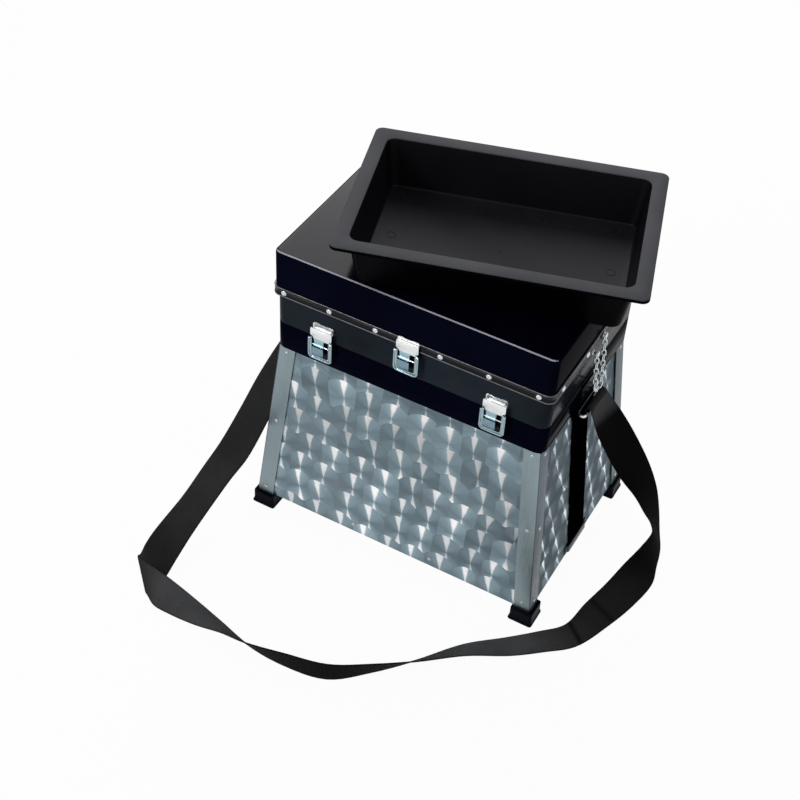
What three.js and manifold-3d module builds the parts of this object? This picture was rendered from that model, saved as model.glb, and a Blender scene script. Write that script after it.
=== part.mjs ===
import * as THREE from 'three';
import { mergeVertices } from 'three/addons/utils/BufferGeometryUtils.js';
import Module from 'manifold-3d';

const wasm = await Module();
wasm.setup();

// Driving dimensions, in millimetres, with +Z up and -Y towards the latches
const lidWidth = 400;
const lidDepth = 275;
const seatHeight = 465;
const lidHeight = 69.2;
const rimHeight = 43;
const tierHeight = 48.2;
const fit = 0.3;

// Black mouldings
const mouldWall = 3;
const mouldInset = 2;
const mouldCorner = 14;
const edgeBreak = 0.8;
const lidCorner = 10;
const lidEdge = 4;
const ledgeReach = 9;
const ledgeThickness = 3.5;
const ledgeDrop = 21;
const tierFloor = 2.5;
const tierFloorLift = 2;

// Trim strip round the foot of the lid
const trimHeight = 13.5;
const trimThickness = 1.5;
const rivetRadius = 3.9;
const rivetRise = 1.9;
const rivetSink = 0.6;
const rivetWaistShares = [0.72, 0.7];
const sideRivetCounts = [-1.5, -0.5, 0.5, 1.5];
const trimRivetPairs = 3;
const trimRivetPitch = 68;
const trimRivetStart = 46.5;
const sideRivetPitch = 73;

// Splayed aluminium lower box
const postFootWidth = 221.2;
const postFootDepth = 153;
const postFootHeight = 23.5;
const postLeg = 25;
const postSheet = 2;
const postBottom = 5.3;
const panelSheet = 1.2;
const panelBottom = 24.3;
const panelTuck = 17.7;
const panelFlange = 12;
const panelMargin = 7;
const floorThickness = 6;
const postRivetShares = [0.045, 0.515, 0.965];
const panelRivetShare = 0.28;
const smallRivetRadius = 2.8;
const smallRivetRise = 1.2;

// Rubber boots on the posts
const bootWall = 2.8;
const bootFloor = 5;
const bootHeight = 23.5;
const bootFlare = 0.9;
const bootFlareHeight = 4;
const bootCorner = 3;

// Piano hinges
const hingeLength = 320;
const hingeKnuckles = 9;
const knuckleRadius = 3.5;
const hingePinRadius = 1.5;
const leafThickness = 1.2;
const leafHeight = 18;
const leafRivetShares = [-0.44, -0.15, 0.15, 0.44];
const leafRivetRiseShare = 0.62;

// Draw latches, measured out from the wall and up from the lever's pivot
const latchSpacing = 126;
const latchShift = 2;
const sidePivotRise = 3;
const middlePivotDrop = 6.5;
const latchSheet = 1.2;
const leverWidth = 36;
const leverDrop = 34;
const leverTop = 3.5;
const leverChamfer = 5;
const leverStand = 8.5;
const leverWindow = 25;
const leverSill = 6;
const leverBead = 1;
const pivotStand = 5;
const pivotPinRadius = 1.3;
const pivotBore = 1.65;
const clawPinStand = 7.2;
const clawPinDrop = 9;
const clawPinRadius = 1.1;
const clawBore = 1.45;
const clawEye = 2.3;
const tongueWidth = 14.5;
const tongueShift = -3;
const clawNeckWidth = 24.4;
const clawNeckBottom = 0.5;
const clawHeadWidth = 32;
const clawHeadBottom = 4.2;
const clawHeadTop = 18.5;
const clawStand = 6.6;
const hookReach = 1;
const flangeOffset = 15.2;
const flangeStand = 2.5;
const flangeDrop = 12;
const baseWidth = 28;
const baseDrop = 35;
const baseTop = -4.2;
const earOffset = 12.9;
const earReach = 6.8;
const earDrop = 5;
const earRise = 2.5;
const baseRivetShares = [-0.55, 0.55];
const baseRivetDropShare = 0.72;
const pinHeadShare = 1.5;
const catchWidth = 31;
const catchBottom = 8.5;
const catchTop = 23;
const catchDip = 0.8;
const catchLobe = 4;
const catchRivetRise = 0.8;
const catchWaistShares = [2, 2.6];
const noseBottom = 12.2;
const noseTop = 15.6;
const noseWidth = 22;
const noseStand = 6.2;

// Shoulder webbing with its rings and keepers
const webWidth = 50;
const webThickness = 2;
const ringWire = 2;
const ringDrop = 5;
const ringReach = 10;
const ringStandoff = 3.6;
const ringDroop = 1;
const ringSlack = 8;
const ringCorner = 4;
const ringShift = -4;
const webLean = 8;
const webClear = 20;
const webBend = 9;
const bracketSheet = 1.2;
const bracketWidth = 46;
const bracketHeight = 34;
const bracketRivetShare = 0.38;
const curlTurns = 1.15;
const keeperRise = 8.7;
const keeperWidth = 11;
const keeperLength = 72;
const keeperSheet = 1.2;
const keeperSlack = 1.5;
const keeperRivetShare = 0.2;

// Stay chain that holds the lid open
const chainWire = 0.9;
const linkLength = 12;
const linkWidth = 7.4;
const linkPitch = 9;
const chainStand = 6.8;
const chainLidY = 12;
const chainTierY = -8;
const chainLidRise = 5.2;
const chainTierDrop = 11.5;
const chainLow = 8;
const chainLean = 5;
const eyeNeckRadius = 1.2;
const eyeHeadRadius = 4;
const eyeDomeShares = [0.8, 1.3];

// Loose tray that stands on the seat, turned as it was put down
const trayWidth = 388;
const trayDepth = 265;
const trayHeight = 71.7;
const trayWall = 2.6;
const trayFlange = 19.8;
const trayFloorInset = 29.5;
const trayFloor = 3;
const trayLip = 6;
const trayLipThickness = 2.4;
const trayCorner = 10;
const trayInnerCorner = 13;
const trayX = 47.7;
const trayY = 11.5;
const trayTurn = 16.9;

// Facets
const cornerSteps = 5;
const roundSides = 16;
const wireSides = 6;
const weld = 1e-4;
const overrun = 1;

// Sizes that follow from the driving ones
const lidHalfWidth = lidWidth / 2;
const lidHalfDepth = lidDepth / 2;
const tierHalfWidth = lidHalfWidth - mouldInset;
const tierHalfDepth = lidHalfDepth - mouldInset;
const rimBottom = seatHeight - lidHeight - tierHeight - rimHeight - fit * 2;
const rimTop = rimBottom + rimHeight;
const tierBottom = rimTop + fit;
const tierTop = tierBottom + tierHeight;
const lidBottom = tierTop + fit;
const seamHeight = (rimTop + tierBottom) / 2;
const lidSeamHeight = (tierTop + lidBottom) / 2;
const postTopWidth = tierHalfWidth - mouldWall - fit;
const postTopDepth = tierHalfDepth - mouldWall - fit;
const ringHeight = rimBottom - ringDrop;
const keeperHeight = panelBottom + keeperRise;
const splayX = (postFootWidth - postTopWidth) / (rimBottom - postFootHeight);
const splayY = (postFootDepth - postTopDepth) / (rimBottom - postFootHeight);
const postTop = rimBottom - fit;
const panelTop = rimBottom + panelTuck;
const panelSet = postSheet + fit;
const degree = Math.PI / 180;

const postX = (z) => postFootWidth - (z - postFootHeight) * splayX;
const postY = (z) => postFootDepth - (z - postFootHeight) * splayY;

// Materials
const material = (color, roughness, metalness) =>
  new THREE.MeshStandardMaterial({ color, roughness, metalness });
const blackMoulding = material(0x16171c, 0.32, 0);
const blackLid = material(0x0c0d14, 0.22, 0);
const blackTrim = material(0x1c1c20, 0.45, 0);
const turnedAluminium = material(0xb9c2c6, 0.25, 1);
const drawnAluminium = material(0xaab2b6, 0.4, 1);
const nickel = material(0xd2d6d8, 0.18, 1);
const plyBoard = material(0x9a7a52, 0.7, 0);
const bootRubber = material(0x141420, 0.6, 0);
const webbing = material(0x26272a, 0.85, 0);
const greyTray = material(0x3c3f40, 0.5, 0);

const group = new THREE.Group();

function addPiece(name, geometry, finish) {
  const mesh = new THREE.Mesh(geometry, finish);
  mesh.name = name;
  group.add(mesh);
  return mesh;
}

// Solids for joining and cutting
function toSolid(geometry) {
  const bare = geometry.clone();
  for (const name of Object.keys(bare.attributes)) {
    if (name !== 'position') bare.deleteAttribute(name);
  }
  const merged = mergeVertices(bare, weld);
  return new wasm.Manifold(new wasm.Mesh({
    numProp: 3,
    vertProperties: new Float32Array(merged.attributes.position.array),
    triVerts: new Uint32Array(merged.index.array),
  }));
}

function toGeometry(solid) {
  const mesh = solid.getMesh();
  const geometry = new THREE.BufferGeometry();
  geometry.setAttribute('position', new THREE.BufferAttribute(mesh.vertProperties.slice(), 3));
  geometry.setIndex(new THREE.BufferAttribute(mesh.triVerts.slice(), 1));
  geometry.computeVertexNormals();
  return geometry;
}

function join(...pieces) {
  let solid = toSolid(pieces[0]);
  for (const piece of pieces.slice(1)) solid = solid.add(toSolid(piece));
  return toGeometry(solid);
}

function cut(piece, ...tools) {
  let solid = toSolid(piece);
  for (const tool of tools) solid = solid.subtract(toSolid(tool));
  return toGeometry(solid);
}

// A closed skin over rings of equally many points, capped at both ends or looped back on itself
function loft(rings, looped = false) {
  const count = rings[0].length;
  const positions = rings.flat().flatMap((point) => [point.x, point.y, point.z]);
  const faces = [];
  const bands = looped ? rings.length : rings.length - 1;
  for (let band = 0; band < bands; band += 1) {
    const next = (band + 1) % rings.length;
    for (let side = 0; side < count; side += 1) {
      const turn = (side + 1) % count;
      const a = band * count + side;
      const b = band * count + turn;
      const c = next * count + turn;
      const d = next * count + side;
      faces.push(a, b, c, a, c, d);
    }
  }
  if (!looped) {
    const last = (rings.length - 1) * count;
    for (const [a, b, c] of capFaces(rings[0])) faces.push(c, b, a);
    for (const [a, b, c] of capFaces(rings[rings.length - 1])) faces.push(last + a, last + b, last + c);
  }
  return facingOut(positions, faces);
}

function capFaces(ring) {
  const normal = new THREE.Vector3();
  ring.forEach((point, index) => {
    normal.add(new THREE.Vector3().crossVectors(point, ring[(index + 1) % ring.length]));
  });
  normal.normalize();
  const along = new THREE.Vector3().subVectors(ring[1], ring[0]).normalize();
  const across = new THREE.Vector3().crossVectors(normal, along);
  const flat = ring.map((point) => new THREE.Vector2(point.dot(along), point.dot(across)));
  return THREE.ShapeUtils.triangulateShape(flat, []);
}

function facingOut(positions, faces) {
  const corner = (index) => new THREE.Vector3().fromArray(positions, index * 3);
  let volume = 0;
  for (let index = 0; index < faces.length; index += 3) {
    const [a, b, c] = [corner(faces[index]), corner(faces[index + 1]), corner(faces[index + 2])];
    volume += a.dot(b.cross(c));
  }
  if (volume < 0) faces.reverse();
  const geometry = new THREE.BufferGeometry();
  geometry.setAttribute('position', new THREE.Float32BufferAttribute(positions, 3));
  geometry.setIndex(faces);
  geometry.computeVertexNormals();
  return geometry;
}

// A level ring in the shape of a rectangle with round corners
function roundedRing(halfWidth, halfDepth, radius, z) {
  const ring = [];
  for (const [sideX, sideY, quarter] of [[1, 1, 0], [-1, 1, 1], [-1, -1, 2], [1, -1, 3]]) {
    for (let step = 0; step <= cornerSteps; step += 1) {
      const angle = (quarter + step / cornerSteps) * Math.PI / 2;
      ring.push(new THREE.Vector3(
        sideX * (halfWidth - radius) + radius * Math.cos(angle),
        sideY * (halfDepth - radius) + radius * Math.sin(angle),
        z,
      ));
    }
  }
  return ring;
}

// Rings that follow a wall's section: each row is an inset from the outline and a height
function wallRings(halfWidth, halfDepth, corner, section) {
  return section.map(([inset, z]) => roundedRing(
    halfWidth - inset, halfDepth - inset, Math.max(corner - inset, edgeBreak), z,
  ));
}

function block(x0, x1, y0, y1, z0, z1) {
  const geometry = new THREE.BoxGeometry(x1 - x0, y1 - y0, z1 - z0);
  geometry.translate((x0 + x1) / 2, (y0 + y1) / 2, (z0 + z1) / 2);
  return geometry;
}

// A round bar along X
function barAlongX(radius, x0, x1, y, z, sides = roundSides) {
  const geometry = new THREE.CylinderGeometry(radius, radius, x1 - x0, sides);
  geometry.rotateZ(Math.PI / 2);
  geometry.translate((x0 + x1) / 2, y, z);
  return geometry;
}

// A domed rivet head that stands along a direction, its foot sunk into what carries it
function rivet(place, direction, radius = rivetRadius, rise = rivetRise) {
  const profile = [
    [0, -rivetSink], [radius, -rivetSink], [radius, 0],
    [radius * rivetWaistShares[0], rise * rivetWaistShares[1]], [0, rise],
  ];
  const geometry = new THREE.LatheGeometry(profile.map(([x, y]) => new THREE.Vector2(x, y)), 8);
  const turn = new THREE.Quaternion().setFromUnitVectors(new THREE.Vector3(0, 1, 0), direction);
  geometry.applyQuaternion(turn);
  geometry.translate(place.x, place.y, place.z);
  return geometry;
}

const vector = (x, y, z) => new THREE.Vector3(x, y, z);

// A flat band through pairs of edge points
function band(rows, thickness) {
  const rings = rows.map(([near, far], index) => {
    const before = rows[Math.max(index - 1, 0)];
    const after = rows[Math.min(index + 1, rows.length - 1)];
    const middle = ([a, b]) => vector(0, 0, 0).addVectors(a, b).multiplyScalar(0.5);
    const along = middle(after).sub(middle(before));
    const across = far.clone().sub(near);
    const out = along.cross(across).setLength(thickness / 2);
    return [
      near.clone().add(out), far.clone().add(out), far.clone().sub(out), near.clone().sub(out),
    ];
  });
  return loft(rings);
}

// A wire of round section along a closed line of points
function wireLoop(points, radius, up, sides = wireSides) {
  return loft(points.map((point, index) => {
    const before = points[(index + points.length - 1) % points.length];
    const after = points[(index + 1) % points.length];
    const out = after.clone().sub(before).cross(up).normalize();
    return Array.from({ length: sides }, (_, side) => {
      const angle = side / sides * Math.PI * 2;
      return point.clone()
        .addScaledVector(out, radius * Math.cos(angle))
        .addScaledVector(up, radius * Math.sin(angle));
    });
  }), true);
}

// Lower box: four splayed panels in four angle posts
function panelRing(x0, x1, y0, y1, z) {
  return [vector(x0, y0, z), vector(x1, y0, z), vector(x1, y1, z), vector(x0, y1, z)];
}

function longPanel(side) {
  const sheet = loft([panelBottom, panelTop].map((z) => {
    const reach = postX(z) - panelMargin;
    const outer = postY(z) - panelSet;
    return panelRing(-reach, reach, side * (outer - panelSheet), side * outer, z);
  }));
  const flangeReach = postX(panelBottom) - panelSet;
  const inner = postY(panelBottom) - panelSet - panelSheet;
  const flange = block(
    -flangeReach + panelFlange, flangeReach - panelFlange,
    Math.min(side * (inner + panelSheet / 2), side * (inner - panelFlange)),
    Math.max(side * (inner + panelSheet / 2), side * (inner - panelFlange)),
    panelBottom, panelBottom + panelSheet,
  );
  const height = panelBottom + panelFlange;
  const heads = [-panelRivetShare, panelRivetShare].map((share) => rivet(
    vector(share * postX(height), side * (postY(height) - panelSet), height),
    vector(0, side, splayY).normalize(), smallRivetRadius, smallRivetRise,
  ));
  return join(sheet, flange, ...heads);
}

function shortPanel(side) {
  return loft([panelBottom, panelTop].map((z) => {
    const reach = postY(z) - panelMargin;
    const outer = postX(z) - panelSet;
    return panelRing(side * (outer - panelSheet), side * outer, -reach, reach, z);
  }));
}

function cornerPost(sideX, sideY) {
  const angle = loft([postBottom, postTop].map((z) => {
    const x = postX(z);
    const y = postY(z);
    return [
      [x, y], [x - postLeg, y], [x - postLeg, y - postSheet],
      [x - postSheet, y - postSheet], [x - postSheet, y - postLeg], [x, y - postLeg],
    ].map(([u, v]) => vector(sideX * u, sideY * v, z));
  }));
  const span = rimBottom - bootHeight;
  const heads = postRivetShares.flatMap((share) => {
    const z = bootHeight + share * span;
    return [
      rivet(vector(sideX * (postX(z) - postLeg / 2), sideY * postY(z), z),
        vector(0, sideY, splayY).normalize(), smallRivetRadius, smallRivetRise),
      rivet(vector(sideX * postX(z), sideY * (postY(z) - postLeg / 2), z),
        vector(sideX, 0, splayX).normalize(), smallRivetRadius, smallRivetRise),
    ];
  });
  return join(angle, ...heads);
}

function foot(sideX, sideY) {
  const pocketHalf = (postLeg + (postX(postBottom) - postX(bootHeight))) / 2 + fit;
  const outerHalf = pocketHalf + bootWall;
  const centreX = postX(postBottom) + fit - pocketHalf;
  const centreY = postY(postBottom) + fit - pocketHalf;
  const shell = loft([
    roundedRing(outerHalf + bootFlare, outerHalf + bootFlare, bootCorner, 0),
    roundedRing(outerHalf + bootFlare, outerHalf + bootFlare, bootCorner, bootFlareHeight / 2),
    roundedRing(outerHalf, outerHalf, bootCorner, bootFlareHeight),
    roundedRing(outerHalf, outerHalf, bootCorner, bootHeight),
    roundedRing(pocketHalf, pocketHalf, edgeBreak, bootHeight),
    roundedRing(pocketHalf, pocketHalf, edgeBreak, bootFloor),
  ]);
  shell.translate(sideX * centreX, sideY * centreY, 0);
  return shell;
}

function floorPanel() {
  const bottom = panelBottom + panelSheet + fit;
  return loft([bottom, bottom + floorThickness].map((z) => {
    const x = postX(bottom + floorThickness) - panelSet - panelSheet - fit;
    const y = postY(bottom + floorThickness) - panelSet - panelSheet - fit;
    return panelRing(-x, x, -y, y, z);
  }));
}

addPiece('front_panel', longPanel(-1), turnedAluminium);
addPiece('back_panel', longPanel(1), turnedAluminium);
addPiece('left_panel', shortPanel(-1), turnedAluminium);
addPiece('right_panel', shortPanel(1), turnedAluminium);
addPiece('floor_panel', floorPanel(), plyBoard);
for (const [place, sideX, sideY] of [
  ['front_left', -1, -1], ['front_right', 1, -1], ['back_left', -1, 1], ['back_right', 1, 1],
]) {
  addPiece(`corner_post_${place}`, cornerPost(sideX, sideY), drawnAluminium);
  addPiece(`foot_${place}`, foot(sideX, sideY), bootRubber);
}

// Black mouldings: the rim on the lower box, the upper tier and the lid
const ledgeHeight = rimTop - ledgeDrop;
addPiece('lower_rim', loft(wallRings(tierHalfWidth, tierHalfDepth, mouldCorner, [
  [edgeBreak, rimBottom], [0, rimBottom + edgeBreak], [0, rimTop - edgeBreak], [edgeBreak, rimTop],
  [mouldWall, rimTop], [mouldWall, ledgeHeight], [mouldWall + ledgeReach, ledgeHeight],
  [mouldWall + ledgeReach, ledgeHeight - ledgeThickness], [mouldWall, ledgeHeight - ledgeThickness],
  [mouldWall, rimBottom],
]), true), blackMoulding);

const tierShell = loft(wallRings(tierHalfWidth, tierHalfDepth, mouldCorner, [
  [mouldWall, tierBottom + tierFloorLift], [mouldWall, tierBottom], [edgeBreak, tierBottom],
  [0, tierBottom + edgeBreak], [0, tierTop], [mouldWall, tierTop],
  [mouldWall, tierBottom + tierFloorLift + tierFloor],
]));
const hingePad = block(
  -hingeLength / 2, hingeLength / 2, tierHalfDepth - mouldWall / 2, lidHalfDepth + fit + trimThickness,
  tierTop - leafHeight, tierTop,
);
addPiece('tier_tray', join(tierShell, hingePad), blackMoulding);

const edgeArc = [0, 30, 60, 90].map((turn) => [
  lidEdge * (1 - Math.sin(turn * degree)), seatHeight - lidEdge * (1 - Math.cos(turn * degree)),
]);
addPiece('lid_shell', loft(wallRings(lidHalfWidth, lidHalfDepth, lidCorner, [
  ...edgeArc, [0, lidBottom], [mouldWall, lidBottom], [mouldWall, seatHeight - mouldWall],
])), blackLid);

function lidTrim() {
  const inner = -fit;
  const outer = -fit - trimThickness;
  const bottom = lidBottom + fit;
  const top = bottom + trimHeight;
  const strip = loft(wallRings(lidHalfWidth, lidHalfDepth, lidCorner, [
    [inner, bottom], [outer, bottom], [outer, top], [inner, top],
  ]), true);
  const middle = (bottom + top) / 2;
  const heads = [];
  for (const side of [-1, 1]) {
    for (let index = 0; index < trimRivetPairs; index += 1) {
      for (const hand of [-1, 1]) {
        const x = hand * (trimRivetStart + index * trimRivetPitch);
        const behindHinge = side > 0 && Math.abs(x) < hingeLength / 2 + rivetRadius;
        if (!behindHinge) {
          heads.push(rivet(vector(x, side * (lidHalfDepth - outer), middle), vector(0, side, 0)));
        }
      }
    }
    for (const count of sideRivetCounts) {
      const y = count * sideRivetPitch;
      heads.push(rivet(vector(side * (lidHalfWidth - outer), y, middle), vector(side, 0, 0)));
    }
  }
  return join(strip, ...heads);
}

addPiece('lid_trim', lidTrim(), blackTrim);

// Piano hinges across the back
function hingeLeaf(axisY, axisZ, side, odd) {
  const plateInner = axisY - knuckleRadius;
  const plateOuter = plateInner + leafThickness;
  const clear = knuckleRadius + fit + fit;
  const spans = Array.from({ length: hingeKnuckles }, (_, index) => index)
    .filter((index) => index % 2 === odd)
    .map((index) => [
      -hingeLength / 2 + index * hingeLength / hingeKnuckles + fit / 2,
      -hingeLength / 2 + (index + 1) * hingeLength / hingeKnuckles - fit / 2,
    ]);
  const plate = block(
    -hingeLength / 2, hingeLength / 2, plateInner, plateOuter,
    Math.min(axisZ + side * clear, axisZ + side * leafHeight),
    Math.max(axisZ + side * clear, axisZ + side * leafHeight),
  );
  const webs = spans.map(([x0, x1]) => block(
    x0, x1, plateInner, plateOuter,
    Math.min(axisZ, axisZ + side * (clear + overrun)), Math.max(axisZ, axisZ + side * (clear + overrun)),
  ));
  const knuckles = spans.map(([x0, x1]) => barAlongX(knuckleRadius, x0, x1, axisY, axisZ, 12));
  const heads = leafRivetShares.map((share) => rivet(
    vector(share * hingeLength, plateOuter, axisZ + side * leafHeight * leafRivetRiseShare),
    vector(0, 1, 0), smallRivetRadius, smallRivetRise,
  ));
  const bore = barAlongX(
    hingePinRadius + fit, -hingeLength / 2 - overrun, hingeLength / 2 + overrun, axisY, axisZ, 12,
  );
  return cut(join(plate, ...webs, ...knuckles, ...heads), bore);
}

function hingePin(axisY, axisZ) {
  return barAlongX(hingePinRadius, -hingeLength / 2, hingeLength / 2, axisY, axisZ, 12);
}

const tierAxisY = tierHalfDepth + fit + knuckleRadius;
const lidAxisY = lidHalfDepth + fit + trimThickness + fit + knuckleRadius;
addPiece('tier_hinge_lower_leaf', hingeLeaf(tierAxisY, seamHeight, -1, 0), nickel);
addPiece('tier_hinge_upper_leaf', hingeLeaf(tierAxisY, seamHeight, 1, 1), nickel);
addPiece('tier_hinge_pin', hingePin(tierAxisY, seamHeight), nickel);
addPiece('lid_hinge_lower_leaf', hingeLeaf(lidAxisY, lidSeamHeight, -1, 0), nickel);
addPiece('lid_hinge_upper_leaf', hingeLeaf(lidAxisY, lidSeamHeight, 1, 1), nickel);
addPiece('lid_hinge_pin', hingePin(lidAxisY, lidSeamHeight), nickel);

// Draw latches: u runs across, stand out from the wall, rise up from the pivot
function latchBlock(u0, u1, stand0, stand1, rise0, rise1) {
  return block(u0, u1, -stand1, -stand0, rise0, rise1);
}

function latchBar(radius, u0, u1, stand, rise) {
  return barAlongX(radius, u0, u1, -stand, rise, 12);
}

// A flat sheet cut to an outline of [across, rise] points, its back at a given stand
function latchSheetOf(outline, stand, thickness, holes = []) {
  const shape = new THREE.Shape(outline.map(([u, rise]) => new THREE.Vector2(u, rise)));
  for (const hole of holes) {
    shape.holes.push(new THREE.Path(hole.map(([u, rise]) => new THREE.Vector2(u, rise))));
  }
  const geometry = new THREE.ExtrudeGeometry(shape, { depth: thickness, bevelEnabled: false });
  geometry.rotateX(Math.PI / 2);
  geometry.translate(0, -stand, 0);
  return geometry;
}

function latchLever() {
  const half = leverWidth / 2;
  const opening = leverWindow / 2;
  const frame = latchSheetOf([
    [-half, leverTop], [-half, leverChamfer - leverDrop], [leverChamfer - half, -leverDrop],
    [half - leverChamfer, -leverDrop], [half, leverChamfer - leverDrop], [half, leverTop],
    [opening, leverTop], [opening, leverSill - leverDrop], [-opening, leverSill - leverDrop],
    [-opening, leverTop],
  ], leverStand, latchSheet);
  const pieces = [frame];
  for (const side of [-1, 1]) {
    const inner = side * flangeOffset;
    const outer = side * (flangeOffset + latchSheet);
    pieces.push(latchBlock(
      Math.min(inner, outer), Math.max(inner, outer),
      flangeStand, leverStand + latchSheet / 2, -flangeDrop, leverTop,
    ));
    const edge = side * half;
    const rail = side * (half - latchSheet);
    pieces.push(latchBlock(
      Math.min(edge, rail), Math.max(edge, rail), leverStand + latchSheet / 2,
      leverStand + latchSheet + leverBead, leverChamfer - leverDrop, leverTop,
    ));
  }
  pieces.push(latchBlock(
    leverChamfer - half, half - leverChamfer, leverStand + latchSheet / 2,
    leverStand + latchSheet + leverBead, -leverDrop, latchSheet - leverDrop,
  ));
  pieces.push(latchBlock(
    -opening - latchSheet / 2, tongueShift + tongueWidth / 2, leverStand, leverStand + latchSheet / 2,
    leverSill - leverDrop - latchSheet / 2, -clawPinDrop - clawEye - latchSheet,
  ));
  return cut(
    join(...pieces),
    latchBar(pivotBore, -half, half, pivotStand, 0),
    latchBar(clawPinRadius, -half, half, clawPinStand, -clawPinDrop),
  );
}

function latchClaw() {
  const left = tongueShift - tongueWidth / 2;
  const right = tongueShift + tongueWidth / 2;
  const neck = clawNeckWidth / 2;
  const head = clawHeadWidth / 2;
  const tongue = latchSheetOf([
    [left, -clawPinDrop], [right, -clawPinDrop], [right, clawNeckBottom], [neck, clawNeckBottom + latchSheet],
    [neck, clawHeadBottom], [head, clawHeadBottom + latchSheet], [head, clawHeadTop], [-head, clawHeadTop],
    [-head, clawHeadBottom + latchSheet], [-neck, clawHeadBottom], [-neck, clawNeckBottom + latchSheet],
    [left, clawNeckBottom],
  ], clawStand, latchSheet);
  const eye = latchBar(clawEye, left, right, clawPinStand, -clawPinDrop);
  const hook = latchBlock(
    -head, head, clawStand - hookReach, clawStand + latchSheet / 2,
    clawHeadTop - latchSheet, clawHeadTop,
  );
  return cut(
    join(tongue, eye, hook),
    latchBar(clawBore, left - overrun, right + overrun, clawPinStand, -clawPinDrop),
  );
}

function latchBase() {
  const half = baseWidth / 2;
  const plate = latchBlock(-half, half, fit, fit + latchSheet, -baseDrop, baseTop);
  const ears = [-1, 1].map((side) => {
    const inner = side * earOffset;
    const outer = side * (earOffset + latchSheet);
    return latchBlock(
      Math.min(inner, outer), Math.max(inner, outer), fit, earReach, -earDrop, earRise,
    );
  });
  const heads = baseRivetShares.map((share) => rivet(
    vector(share * half, -fit - latchSheet, -baseDrop * baseRivetDropShare),
    vector(0, -1, 0), smallRivetRadius, smallRivetRise,
  ));
  const bore = latchBar(pivotBore, -half - overrun, half + overrun, pivotStand, 0);
  return cut(join(plate, ...ears, ...heads), bore);
}

function latchCatch(wallStand) {
  const half = catchWidth / 2;
  const [lobeEnd, dipStart] = catchWaistShares.map((share) => share * catchLobe);
  const back = wallStand + fit;
  const plate = latchSheetOf([
    [-half, catchBottom + catchLobe], [-half + catchLobe, catchBottom],
    [half - catchLobe, catchBottom], [half, catchBottom + catchLobe],
    [half, catchTop - catchLobe / 2], [half - catchLobe / 2, catchTop],
    [half - lobeEnd, catchTop], [half - dipStart, catchTop - catchDip],
    [dipStart - half, catchTop - catchDip], [lobeEnd - half, catchTop],
    [catchLobe / 2 - half, catchTop], [-half, catchTop - catchLobe / 2],
  ], back, latchSheet);
  const nose = latchBlock(-noseWidth / 2, noseWidth / 2, back, noseStand, noseBottom, noseTop);
  const heads = [-1, 1].map((side) => rivet(
    vector(side * (half - catchLobe), -back - latchSheet, catchBottom + catchLobe),
    vector(0, -1, 0), smallRivetRadius, catchRivetRise,
  ));
  return join(plate, nose, ...heads);
}

function pinWithHeads(radius, reach, stand, rise) {
  const headThickness = latchSheet / 2;
  return join(
    latchBar(radius, -reach - headThickness, reach + headThickness, stand, rise),
    latchBar(radius * pinHeadShare, -reach - headThickness, -reach, stand, rise),
    latchBar(radius * pinHeadShare, reach, reach + headThickness, stand, rise),
  );
}

const flangeOuter = flangeOffset + latchSheet;
for (const [place, x, pivotHeight, catchStand] of [
  ['left', latchShift - latchSpacing, rimTop + sidePivotRise, 0],
  ['right', latchShift + latchSpacing, rimTop + sidePivotRise, 0],
  ['middle', latchShift, tierTop - middlePivotDrop, mouldInset + fit + trimThickness],
]) {
  const clawPin = latchBar(
    clawPinRadius - fit / 4, -flangeOuter + fit, flangeOuter - fit, clawPinStand, -clawPinDrop,
  );
  for (const [name, geometry] of [
    ['latch_base', latchBase()],
    ['latch_lever', latchLever()],
    ['latch_claw', latchClaw()],
    ['latch_catch', latchCatch(catchStand)],
    ['latch_pivot_pin', pinWithHeads(pivotPinRadius, flangeOuter + fit, pivotStand, 0)],
    ['latch_claw_pin', clawPin],
  ]) {
    addPiece(`${name}_${place}`, geometry, nickel).position.set(x, -tierHalfDepth, pivotHeight);
  }
}

// Webbing held by the box, with its rings, brackets and keepers
const ringInnerX = tierHalfWidth + ringStandoff;
const ringOuterX = ringInnerX + ringReach;
const ringHalf = webWidth / 2 + ringSlack;
const keeperPanelX = postX(keeperHeight) - panelSet;

function strapRing(side) {
  const points = [];
  const centreX = (ringInnerX + ringOuterX) / 2;
  const halfX = (ringOuterX - ringInnerX) / 2;
  for (const [cornerX, cornerY, quarter] of [[1, 1, 0], [-1, 1, 1], [-1, -1, 2], [1, -1, 3]]) {
    for (let step = 0; step <= 3; step += 1) {
      const angle = (quarter + step / 3) * Math.PI / 2;
      const u = cornerX * (halfX - ringCorner) + ringCorner * Math.cos(angle);
      const y = cornerY * (ringHalf - ringCorner) + ringCorner * Math.sin(angle);
      points.push(vector(side * (centreX + u), ringShift + y, ringHeight - ringDroop * (u / halfX + 1) / 2));
    }
  }
  return wireLoop(points, ringWire, vector(0, 0, 1), 8);
}

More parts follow.
